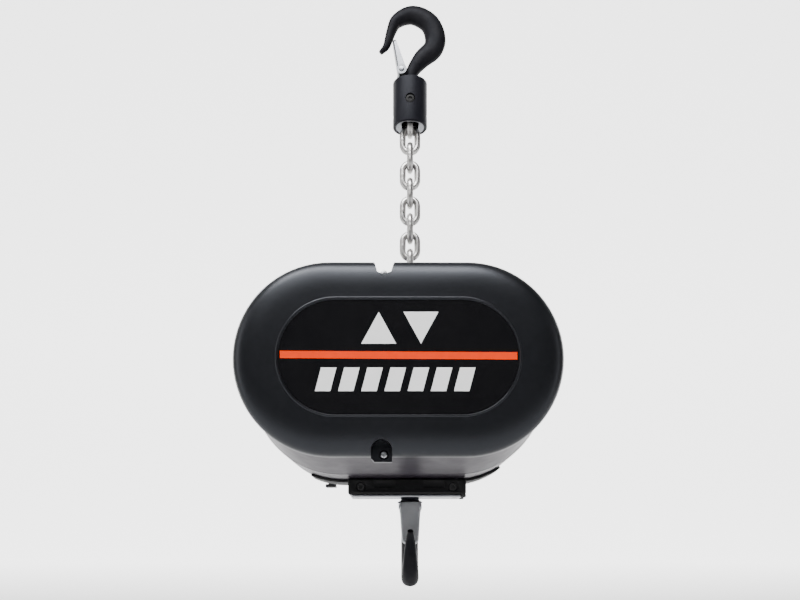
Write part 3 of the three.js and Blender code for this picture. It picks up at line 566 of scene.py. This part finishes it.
def build_hook(prefix, scale, matrix, shank_end):
    """Hook, latch, rivet and spring, drawn as the upper hook and moved into place."""
    put = matrix @ Matrix.Diagonal((scale, scale, scale, 1))
    body, latch_body = f"{prefix}_hook_body", f"{prefix}_latch_body"
    hook = raw(f"{prefix}_hook_forging", *placed(hook_mesh(shank_end), put))
    lug_z, lug_radius = LATCH_AXIS[1], HOOK_LUG["radius"]
    lug = arc(LATCH_AXIS, lug_radius, 90, 271, 15) + [(0, lug_z - lug_radius), (0, lug_z + HOOK_LUG["rise"])]
    carve(hook, [placed(prism(lug, -HOOK_LUG["half"], HOOK_LUG["half"]), put)], "UNION")
    carve(hook, [placed(latch_hole(LATCH_PIN["hook_hole"]), put)])
    dress(hook, "black_forging", body, 38, [f"{prefix}_hook"])
    latch = raw(f"{prefix}_latch_plate", *placed(latch_mesh(), put))
    outside = LATCH["width"][0] / 2
    for side in (1, -1):
        near, far = side * (outside - LATCH["sheet"]), side * outside
        ear = turned([(0.05, near), (EAR_RADIUS, near), (EAR_RADIUS, far), (0.05, far)], LATCH_AXIS, "y", 40)
        carve(latch, [placed(ear, put)], "UNION")
    carve(latch, [placed(latch_hole(LATCH_PIN["latch_hole"]), put)])
    # The upper latch takes the darker copy of the latch metal, painted shade; both latches are the same metal
    latch_finish = "latch_steel" if prefix == "upper" else "pressed_zinc"
    dress(latch, latch_finish, latch_body, 30, [f"{prefix}_latch"])
    piece(f"{prefix}_latch_rivet", *placed(latch_pin_mesh(), put), "machine_steel", body, 30,
          [f"{prefix}_latch_pin"])
    piece(f"{prefix}_latch_coil", *placed(spring_mesh(), put), "machine_steel", body, 60,
          [f"{prefix}_latch_spring"])


UPPER_HOOK = dict(scale=1.0, shank_end=-99.4)
LOWER_HOOK = dict(scale=1.2, shank_end=-92.9, seat_z=-671.3)
quarter_turn, upside_down = Matrix.Rotation(math.pi / 2, 4, "Z"), Matrix.Rotation(math.pi, 4, "X")
lower_frame = Matrix.Translation((0, 0, LOWER_HOOK["seat_z"])) @ quarter_turn @ upside_down
build_hook("upper", UPPER_HOOK["scale"], Matrix.Identity(4), UPPER_HOOK["shank_end"])
build_hook("lower", LOWER_HOOK["scale"], lower_frame, LOWER_HOOK["shank_end"])

# ------------------------------------------------------------------ hook block

BLOCK = dict(bore=7.9, cavity=15.8, mouth=18.1, roof=9.6, crown=1.8, foot=1.2, chamfer=0.4,
             screw_z=-102.9, screw_hole=5.9, screw_floor=-17.9, pin_z=-115.95, pin_hole=4.0, reach=30)
BLOCK_SCREW = dict(radius=5.4, front=-19.6, back=-18.0, hexagon=2.7, hexagon_floor=-18.3)
END_PLATE = dict(radius=17.6, slot=(10.3, 15.5), corner=6, cut=(-140, -120))
top, bottom = high("hook_block")[2], low("hook_block")[2]
outer = high("hook_block")[0] - 0.02
bore, cavity, mouth, roof = BLOCK["bore"], BLOCK["cavity"], BLOCK["mouth"], top - BLOCK["roof"]
crown, foot, chamfer, reach = BLOCK["crown"], BLOCK["foot"], BLOCK["chamfer"], BLOCK["reach"]
block_profile = (
    [(bore, top - chamfer), (bore + chamfer, top)] + fillet((outer - crown, top - crown), crown, 90, 0)
    + fillet((outer - foot, bottom + foot), foot, 0, -90, 5)
    + [(mouth + chamfer, bottom), (mouth, bottom + chamfer), (mouth, bottom + 3.0), (cavity, bottom + 3.2),
       (cavity, roof), (bore, roof)])
block = raw("hook_block_turned", *turned(block_profile, sides=96, closed=True))
carve(block, [
    turned([(BLOCK["screw_hole"], -reach), (BLOCK["screw_hole"], BLOCK["screw_floor"])],
           (0, BLOCK["screw_z"]), "y", 48),
    turned([(BLOCK["pin_hole"], -reach), (BLOCK["pin_hole"], reach)], (0, BLOCK["pin_z"]), "x", 32)])
dress(block, "block_black", "hook_block_body", 32, ["hook_block"])

edge, near, far = BLOCK_SCREW["radius"], BLOCK_SCREW["front"], BLOCK_SCREW["back"]
screw_axis = (0, BLOCK["screw_z"])
socket = raw("block_socket_screw", *turned(
    [(0.05, near), (edge - 0.8, near), (edge - 0.2, near + 0.3), (edge, near + 0.7),
     (edge, far), (0.05, far)],
    screw_axis, "y", 48))
hexagon = arc(screw_axis, BLOCK_SCREW["hexagon"], 30, 390, 60)
carve(socket, [prism(hexagon, -25, BLOCK_SCREW["hexagon_floor"])])
dress(socket, "matte_black", "hook_block_body", 30, ["block_set_screw"])

plate_low, plate_high = low("end_plate")[2] + 0.05, high("end_plate")[2]
rim = END_PLATE["radius"]
plate = raw("chain_guide_washer", *turned(
    [(0.05, plate_low), (rim - 0.4, plate_low), (rim, plate_low + 0.4), (rim, plate_high - 0.2),
     (rim - 0.2, plate_high), (0.05, plate_high)], sides=80))
slot_x, slot_y = END_PLATE["slot"]
slot_rings = [rounded_rectangle((-slot_x, slot_x), (-slot_y, slot_y), END_PLATE["corner"], 0, h, 8)
              for h in END_PLATE["cut"]]
carve(plate, [loft(slot_rings)])
soften(plate, 0.3)
dress(plate, "machine_steel", "hook_block_body", 30, ["end_plate"])

# ------------------------------------------------------------------ chain

WELD = dict(swell=0.22, length=1.1, thinning=0.06)


def link_mesh(centre, quarter):
    """A link with its weld on one side and thinner bends; quarter turns it edge on."""
    rings, steps, sides = [], 14, 20
    straight = CHAIN["half"] - CHAIN["bend"]
    stations = []
    for end in (1, -1):
        for i in range(steps + 1):
            angle = math.pi * i / steps + (0 if end > 0 else math.pi)
            out = Vector((math.cos(angle), 0, math.sin(angle)))
            stations.append((out * CHAIN["bend"] + Vector((0, 0, end * straight)), out))
        for i in range(1, 8):
            side = Vector((-end, 0, 0))
            stations.append((side * CHAIN["bend"] + Vector((0, 0, end * straight * (1 - i / 4))), side))
    turn = Matrix.Rotation(math.pi / 2 if quarter else 0, 3, "Z")
    for at, out in stations:
        radius = CHAIN["wire"]
        if at.x < -CHAIN["bend"] + 0.01 and abs(at.z) < straight:
            radius += WELD["swell"] * math.exp(-(at.z / WELD["length"]) ** 2)
        if abs(at.z) > straight:
            radius -= WELD["thinning"] * (abs(at.z) - straight) / CHAIN["bend"]
        ring = oval(at, out * radius, Vector((0, radius, 0)), sides)
        rings.append([turn @ p + centre for p in ring])
    return loft(rings, loop=True)


LINK_BODY = {node: name for name, nodes in frame["record"]["behaviour"]["bodies"].items() for node in nodes}
# The links beyond the straight run keep their CAD shape.
for number in range(1, STRAIGHT_LINKS + 1):
    node = f"chain_link_{number:02d}"
    centre = Vector((0, 0, CHAIN["first_z"] - CHAIN["pitch"] * (number - 1)))
    link = link_mesh(centre, number % 2 == 1)
    piece(f"link_{number:02d}_welded", *link, "chain_steel", LINK_BODY[node], 60, [node])

# ------------------------------------------------------------------ body

HOIST = "hoist_body"
radius, front, back = COVER["radius"], COVER["front"], COVER["back"]

BAY_OVERSHOOT = 20
BAY_FLOOR = dict(bottom=-205, top_step=-203.0, top_deeper=4.3)
EDGE = dict(reach=37.0, depth=19.0, power=2.9, face=0.7)
BEAD_RADIUS = 57.3
BEAD = [(1.2, -0.05), (0.9, -0.3), (0.5, -0.6), (0.0, -0.7), (-0.5, -0.6), (-0.9, -0.2), (-1.2, 0.5),
        (-1.5, 1.0), (-1.8, 1.2)]
COVER_LUG = dict(left=10.4, right=10.3, chamfer=(3.2, 3.4), low=-563.5, high=-549.6, front=-207)


def bay(end, y, deeper=0.0):
    """The cutter for a screw bay open at the edge of the cover, with rounded inner corners."""
    shape = BAYS[end]
    side, centre, corner = shape["side"], shape["x"], shape["corner"]
    edge = BODY["z"] + side * radius
    floor = edge - side * (shape["depth"] + deeper)
    outline = [(centre - shape["outer"], edge + side * BAY_OVERSHOOT)]
    for way in (-1, 1):
        for i in range(13):
            a = math.radians(90 * (i / 12 if way < 0 else 1 - i / 12))
            x = centre + way * (shape["inner"] - corner * (1 - math.cos(a)))
            outline.append((x, floor + side * corner * (1 - math.sin(a))))
    outline.append((centre + shape["outer"], edge + side * BAY_OVERSHOOT))
    return prism(outline, *y)


def cover_rings():
    """From the back edge over the crowned shoulder and the face to the sunk panel for the label."""
    rings = [stadium(1, back), stadium(radius - 1, back), stadium(radius, back - 0.6)]
    reach, depth, power, face = EDGE["reach"], EDGE["depth"], EDGE["power"], front + EDGE["face"]
    for i in range(25):
        a = math.radians(90 * i / 24)
        r = radius - reach * (1 - math.cos(a) ** (2 / power))
        rings.append(stadium(r, face + depth * (1 - math.sin(a) ** (2 / power))))
    rings += [stadium(BEAD_RADIUS + out, face + y, **LABEL) for out, y in BEAD]
    return rings + [stadium(1, face + BEAD[-1][1], **LABEL)]


cover = raw("front_cover_shell", *loft(cover_rings()))
lug_x, lug_low = BAYS["bottom"]["x"], COVER_LUG["low"]
lug_left, lug_right = lug_x - COVER_LUG["left"], lug_x + COVER_LUG["right"]
cut_x, cut_z = COVER_LUG["chamfer"]
lug = [(lug_left, lug_low + cut_z), (lug_left + cut_x, lug_low), (lug_right, lug_low),
       (lug_right, COVER_LUG["high"]), (lug_left, COVER_LUG["high"])]
carve(cover, [bay("bottom", (front - 10, BAY_FLOOR["bottom"])), bay("top", (front - 10, back + 10)),
              bay("top", (front - 10, BAY_FLOOR["top_step"]), BAY_FLOOR["top_deeper"])])
carve(cover, [prism(lug, COVER_LUG["front"], back)], "UNION")
carve(cover, [turned([(SCREW["hole"], y) for y in SCREW["hole_y"]], (SCREW["x"], SCREW[end]), "y", 32)
              for end in BAYS])
dress(cover, "textured_black", HOIST, 32, ["front_cover"])

PAN = dict(radius=4.0, shank=2.0, front=-206.9, seat=-203.2, end=-189.2)
CROSS = dict(arm=2.3, blade=0.45, y=(-210, -205.2))
rim, shank, tip_y, end_y = PAN["radius"], PAN["shank"], PAN["front"], PAN["end"]
pan_profile = [
    (0.05, tip_y), (rim - 1.9, tip_y + 0.2), (rim - 0.8, tip_y + 0.7), (rim - 0.2, tip_y + 1.5),
    (rim, tip_y + 2.5), (rim, PAN["seat"]), (shank, PAN["seat"] + 0.2), (shank, end_y), (0.05, end_y)]
corners = ((-1, -1), (1, -1), (1, 1), (-1, 1))
for end in ("top", "bottom"):
    head = raw(f"cover_screw_{end}_pan", *turned(pan_profile, (SCREW["x"], SCREW[end]), "y", 40))
    carve(head, [prism([(SCREW["x"] + sx * a, SCREW[end] + sz * b) for sx, sz in corners], *CROSS["y"])
                 for a, b in ((CROSS["arm"], CROSS["blade"]), (CROSS["blade"], CROSS["arm"]))])
    dress(head, "zinc_plate", HOIST, 30, [f"cover_screw_{end}"])

FILM_RADIUS = 55.3
STRIPE = [(-129, -464.0), (101.5, -465.4), (101.5, -458.2), (-129, -456.8)]
ARROW = dict(half=17, low=-450, high=-419, up_x=-33, down_x=8)
MARKS = dict(count=7, first=-95, pitch=22.5, width=15, lean=6, low=-496, high=-473)
face_y = front + 1.5
piece("label_film", *loft([
    stadium(FILM_RADIUS, face_y + 1.6, **LABEL), stadium(FILM_RADIUS, face_y + 0.2, **LABEL),
    stadium(FILM_RADIUS - 0.3, face_y, **LABEL)]), "label_black", HOIST, 30, ["name_plate"])
ink_y = face_y - 0.06


def ink(name, outline, material):
    """A printed mark on the label."""
    piece(name, *prism(outline, ink_y, face_y + 0.3), material, HOIST)


ink("label_stripe", STRIPE, "label_orange")
for name, x, foot, tip in (("label_mark_up", ARROW["up_x"], ARROW["low"], ARROW["high"]),
                           ("label_mark_down", ARROW["down_x"], ARROW["high"], ARROW["low"])):
    ink(name, [(x - ARROW["half"], foot), (x + ARROW["half"], foot), (x, tip)], "label_white")
for i in range(MARKS["count"]):
    foot = MARKS["first"] + MARKS["pitch"] * i
    head_x = foot + MARKS["lean"]
    ink(f"label_block_{i + 1}", [
        (foot, MARKS["low"]), (foot + MARKS["width"], MARKS["low"]), (head_x + MARKS["width"], MARKS["high"]),
        (head_x, MARKS["high"])], "label_white")

LAP = 6
GUIDE = dict(gap=0.3, z=(-400, -350))
gear_front, gear_back = low("gear_housing")[1], high("gear_housing")[1]
flare, casing = CASING_RADIUS["front"], CASING_RADIUS["joint"]
piece("gear_casing_skin", *shell(
    [(flare - LAP, gear_front), (flare - 0.8, gear_front), (flare, gear_front + 0.8),
     (casing - 0.1, gear_back - 1.0), (casing - 0.9, gear_back), (casing - LAP, gear_back)]),
    "gloss_black", HOIST, 32, ["gear_housing"])
frame_front, frame_back = low("motor_frame")[1], high("motor_frame")[1]
motor = raw("motor_casing_skin", *shell(
    [(casing - LAP, frame_front), (casing - 0.9, frame_front), (casing, frame_front + 0.9),
     (casing, frame_back - 0.5), (casing - 0.5, frame_back), (casing - LAP, frame_back)]))
guide_low, guide_high = low("chain_guide"), high("chain_guide")
guide_x, guide_y = [(guide_low[i] - GUIDE["gap"], guide_high[i] + GUIDE["gap"]) for i in (0, 1)]
carve(motor, [loft([rounded_rectangle(guide_x, guide_y, 1, 0, h) for h in GUIDE["z"]])])
dress(motor, "gloss_black", HOIST, 32, ["motor_frame"])

rear, rear_front, rear_back = REAR_RADIUS, low("rear_cover")[1] + 0.02, high("rear_cover")[1] - 0.1
FIELD = dict(radius=60.0, sunk=1.2, wall=5.4, edge=18.0, inner_edge=14)
inside, inner_face = rear - FIELD["edge"], rear_back - FIELD["wall"]
rear_profile = (
    [(1, inner_face)] + fillet((inside, inner_face - FIELD["inner_edge"]), FIELD["inner_edge"], 90, 0)
    + [(rear - 4, rear_front), (rear - 0.8, rear_front), (rear, rear_front + 0.8)]
    + fillet((inside, rear_back - FIELD["edge"]), FIELD["edge"], 0, 90, 18)
    + [(FIELD["radius"] + 1.4, rear_back), (FIELD["radius"] + 0.9, rear_back - 0.2),
       (FIELD["radius"] + 0.3, rear_back - FIELD["sunk"] + 0.2),
       (FIELD["radius"] - 0.4, rear_back - FIELD["sunk"]),
       (1, rear_back - FIELD["sunk"])])
rear_shell = raw("rear_cover_shell", *loft([stadium(r, y) for r, y in rear_profile]))
REAR_SCREW = dict(ring=70.5, angle=52.0, hole=5.4, sunk=4.0, head=4.4, hexagon=2.1, hexagon_floor=1.2)
rear_screws = []
for side in (1, -1):
    for way in (1, -1):
        a = math.radians(REAR_SCREW["angle"])
        rear_screws.append((BODY["x"] + side * (BODY["flat"] + REAR_SCREW["ring"] * math.cos(a)),
                            BODY["z"] + way * REAR_SCREW["ring"] * math.sin(a)))
seat, rim = rear_back - REAR_SCREW["sunk"], REAR_SCREW["head"]
carve(rear_shell, [turned([(REAR_SCREW["hole"], seat), (REAR_SCREW["hole"], rear_back + 5)], at, "y", 32)
                   for at in rear_screws])
dress(rear_shell, "textured_black", HOIST, 32, ["rear_cover"])
for i, (x, z) in enumerate(rear_screws):
    head = raw(f"rear_cover_screw_{i + 1}", *turned(
        [(0.05, seat - 0.6), (rim - 0.2, seat - 0.6), (rim, seat + 0.2), (rim - 0.1, seat + 1.6),
         (rim - 0.7, seat + 2.5), (rim - 2.0, seat + 3.1), (0.05, seat + 3.3)], (x, z), "y", 40))
    hexagon = arc((x, z), REAR_SCREW["hexagon"], 0, 360, 60)
    carve(head, [prism(hexagon, seat + REAR_SCREW["hexagon_floor"], seat + 6)])
    dress(head, "zinc_plate", HOIST, 30)

# ------------------------------------------------------------------ suspension

ADAPTER = dict(x=(-75.45, 67.95), y=(-19.95, 27.95), top=-563.45, edge=2.6, bore=9.4, sink=18,
               sink_floor=-574.9)
CAP_SCREW = dict(x=(-60.0, 52.0), z=-573.5, hole=5.6, floor=-14.5, head=4.9, face=-19.4, seat=-14.6,
                 hexagon=2.6, hexagon_floor=-16.5)
WINDOW = dict(x=(-44, 16), width=26, low=-575, high=-566, floor=-18.6)
UNDERPLATE = dict(corner=4, bore=11.8, hole=2.6, inset=8)
FOOT = dict(x=(61.6, 67.8), y=(-18.95, 16.95), z=(-586.0, -582.0), width=10, edge=1.0)

strap, strap_steps = [], CRADLE["steps"]
strap_radius = CASING_RADIUS["joint"] + CRADLE["gap"]
strap_left = [(-1, -CRADLE["left"] * (1 - k / strap_steps)) for k in range(strap_steps + 1)]
strap_right = [(1, CRADLE["right"] * k / strap_steps) for k in range(strap_steps + 1)]
for r, way in ((strap_radius + CRADLE["thick"], 1), (strap_radius, -1)):
    for side, angle in (strap_left + strap_right)[::way]:
        a = math.radians(angle)
        strap.append((BODY["x"] + side * BODY["flat"] + r * math.sin(a), BODY["z"] - r * math.cos(a)))
adapter_z = (low("suspension_adapter")[2] + 0.05, ADAPTER["top"])
adapter = raw("suspension_adapter_body", *rounded_box(ADAPTER["x"], ADAPTER["y"], adapter_z, ADAPTER["edge"]))
carve(adapter, [prism(strap, *CRADLE["y"])], "UNION")
carve(adapter, [turned([(ADAPTER["bore"], -600), (ADAPTER["bore"], -540)], sides=40),
                turned([(ADAPTER["sink"], ADAPTER["sink_floor"]), (ADAPTER["sink"], -540)], sides=48)])
carve(adapter, [turned([(CAP_SCREW["hole"], -40), (CAP_SCREW["hole"], CAP_SCREW["floor"])],
                       (x, CAP_SCREW["z"]), "y", 32) for x in CAP_SCREW["x"]])
for x in WINDOW["x"]:
    far_x = x + WINDOW["width"]
    window = [(x, WINDOW["low"]), (far_x, WINDOW["low"]), (far_x, WINDOW["high"]), (x, WINDOW["high"])]
    carve(adapter, [prism(window, -30, WINDOW["floor"])])
soften(adapter, 0.5, 40, 2)
dress(adapter, "matte_black", HOIST, 32, ["suspension_adapter"])
edge, near, far = CAP_SCREW["head"], CAP_SCREW["face"], CAP_SCREW["seat"]
for i, x in enumerate(CAP_SCREW["x"]):
    axis = (x, CAP_SCREW["z"])
    cap = raw(f"adapter_cap_screw_{i + 1}", *turned(
        [(0.05, near), (edge - 0.5, near), (edge, near + 0.4), (edge, far), (0.05, far)], axis, "y", 40))
    carve(cap, [prism(arc(axis, CAP_SCREW["hexagon"], 0, 360, 60), -25, CAP_SCREW["hexagon_floor"])])
    dress(cap, "dark_steel", HOIST, 30)

plate_low, plate_high, inset = low("adapter_plate"), high("adapter_plate"), UNDERPLATE["inset"]
plate_x, plate_y = [(plate_low[i], plate_high[i]) for i in (0, 1)]
under = raw("adapter_underplate", *loft([
    rounded_rectangle(plate_x, plate_y, UNDERPLATE["corner"], 0, h)
    for h in (plate_low[2] + 0.02, plate_high[2])]))
carve(under, [turned([(UNDERPLATE["bore"], -600), (UNDERPLATE["bore"], -570)], sides=48)])
carve(under, [turned([(UNDERPLATE["hole"], -600), (UNDERPLATE["hole"], -570)], (x, y), sides=24)
              for x in (plate_x[0] + inset, plate_x[1] - inset)
              for y in (plate_y[0] + inset, plate_y[1] - inset)])
soften(under, 0.35, 40, 2)
dress(under, "zinc_plate", HOIST, 30, ["adapter_plate"])
for i, y in enumerate(FOOT["y"]):
    foot_y = (y, y + FOOT["width"])
    foot = raw(f"adapter_foot_{i + 1}", *rounded_box(FOOT["x"], foot_y, FOOT["z"], FOOT["edge"]))
    dress(foot, "rubber_black", HOIST, 32)

COLLAR = dict(bore=9.8, bore_end=-586.5, neck=11.1, mouth=12.2, rim_top=-591.2)
COLLAR_FLARE = [(11.2, -587.4), (11.5, -588.6), (12.3, -589.7), (13.6, -590.4), (14.8, -590.7)]
collar_top, collar_bottom = high("hook_collar")[2], low("hook_collar")[2]
rim = high("hook_collar")[0] - 0.02
collar = (
    [(COLLAR["bore"], collar_top), (COLLAR["neck"], collar_top)] + COLLAR_FLARE
    + [(rim, COLLAR["rim_top"]), (rim, collar_bottom + 0.4), (rim - 0.4, collar_bottom),
       (COLLAR["mouth"] + 0.4, collar_bottom), (COLLAR["mouth"], collar_bottom + 0.6),
       (COLLAR["bore"], COLLAR["bore_end"])])
piece("hook_collar_flare", *turned(collar, sides=80, closed=True), "block_black", HOIST, 32, ["hook_collar"])

GLAND = dict(top=-563.25, edge=1.1, stub=3.9, hole=2.4, hole_top=-566.2)
gland_low, gland_high = low("cable_gland"), high("cable_gland")
gland_x, gland_y = [(gland_low[i], gland_high[i]) for i in (0, 1)]
gland_axis = (sum(gland_x) / 2, sum(gland_y) / 2)
gland = raw("cable_gland_cap", *rounded_box(gland_x, gland_y, (gland_low[2], GLAND["top"]), GLAND["edge"]))
carve(gland, [turned([(GLAND["stub"], -565), (GLAND["stub"], gland_high[2])], gland_axis, sides=32)], "UNION")
carve(gland, [turned([(GLAND["hole"], -575), (GLAND["hole"], GLAND["hole_top"])], gland_axis, sides=24)])
dress(gland, "black_plastic", HOIST, 32, ["cable_gland"])

# ------------------------------------------------------------------ stage, light and camera

FLOOR_Z = -900.0
GLOW = dict(floor=0.12, wall=3.2, rise=200)
SWEEP = dict(near=-3000, start=1500, radius=1200, top=3200, side=5000)
CAMERA = dict(at=(-0.01235, -1.020, -0.6502), sensor=36, lens=37.17, shift_y=0.3125)
WORLD_STRENGTH = 0.08


def stage_material():
    """White that glows more with height, so that the backdrop stays pale and the floor stays dim."""
    material = bpy.data.materials.new("studio_white")
    material.use_nodes = True
    nodes, links = material.node_tree.nodes, material.node_tree.links
    shader = nodes["Principled BSDF"]
    where = nodes.new("ShaderNodeTexCoord").outputs["Object"]
    links.new(mix_color(nodes, links, noise(nodes, links, where, 3), (0.86, 0.86, 0.86), (0.88, 0.88, 0.88)),
              shader.inputs["Base Color"])
    shader.inputs["Roughness"].default_value = 0.9
    shader.inputs["Emission Color"].default_value = (1, 1, 1, 1)
    height = nodes.new("ShaderNodeSeparateXYZ")
    links.new(where, height.inputs[0])
    lift = nodes.new("ShaderNodeMapRange")
    lift.inputs["From Min"].default_value = FLOOR_Z * MM
    lift.inputs["From Max"].default_value = (FLOOR_Z + GLOW["rise"]) * MM
    lift.inputs["To Min"].default_value = GLOW["floor"]
    lift.inputs["To Max"].default_value = GLOW["wall"]
    links.new(height.outputs["Z"], lift.inputs["Value"])
    links.new(lift.outputs["Result"], shader.inputs["Emission Strength"])
    return material


sweep_profile = (
    [(SWEEP["near"], FLOOR_Z), (SWEEP["start"], FLOOR_Z)]
    + arc((SWEEP["start"], FLOOR_Z + SWEEP["radius"]), SWEEP["radius"], -80, 1, 10)
    + [(SWEEP["start"] + SWEEP["radius"], SWEEP["top"])])
verts = [Vector((x, y, z)) for y, z in sweep_profile for x in (-SWEEP["side"], SWEEP["side"])]
faces = [(2 * i, 2 * i + 1, 2 * i + 3, 2 * i + 2) for i in range(len(sweep_profile) - 1)]
mesh = mesh_of("studio_sweep", verts, faces)
sweep = linked("studio_sweep", mesh)
mesh.materials.append(stage_material())
for polygon in mesh.polygons:
    polygon.use_smooth = True

world = bpy.data.worlds.new("studio")
bpy.context.scene.world = world
world.use_nodes = True
world.node_tree.nodes["Background"].inputs["Color"].default_value = (1, 1, 1, 1)
world.node_tree.nodes["Background"].inputs["Strength"].default_value = WORLD_STRENGTH


def area(name, at, target, size, power):
    """A rectangular lamp aimed at target; metres and watts."""
    lamp = bpy.data.lights.new(name, "AREA")
    lamp.shape = "RECTANGLE"
    lamp.size, lamp.size_y = size
    lamp.energy = power
    obj = linked(name, lamp)
    obj.location = at
    obj.rotation_euler = (Vector(target) - Vector(at)).to_track_quat("-Z", "Y").to_euler()


CENTRE = (-0.014, -0.05, -0.45)
area("overhead", (-0.25, -0.75, 0.75), CENTRE, (1.3, 0.45), 36)
area("left", (-1.5, -0.55, -0.1), CENTRE, (0.5, 1.3), 6)
area("right", (1.6, -0.75, -0.2), CENTRE, (0.45, 1.3), 3)
area("front", (-0.45, -2.0, 1.15), CENTRE, (1.3, 0.7), 14)

camera_data = bpy.data.cameras.new("camera")
camera_data.sensor_width = CAMERA["sensor"]
camera_data.lens = CAMERA["lens"]
camera_data.shift_y = CAMERA["shift_y"]
camera = linked("camera", camera_data)
camera.location = CAMERA["at"]
camera.rotation_euler = (math.pi / 2, 0, 0)
bpy.context.scene.camera = camera
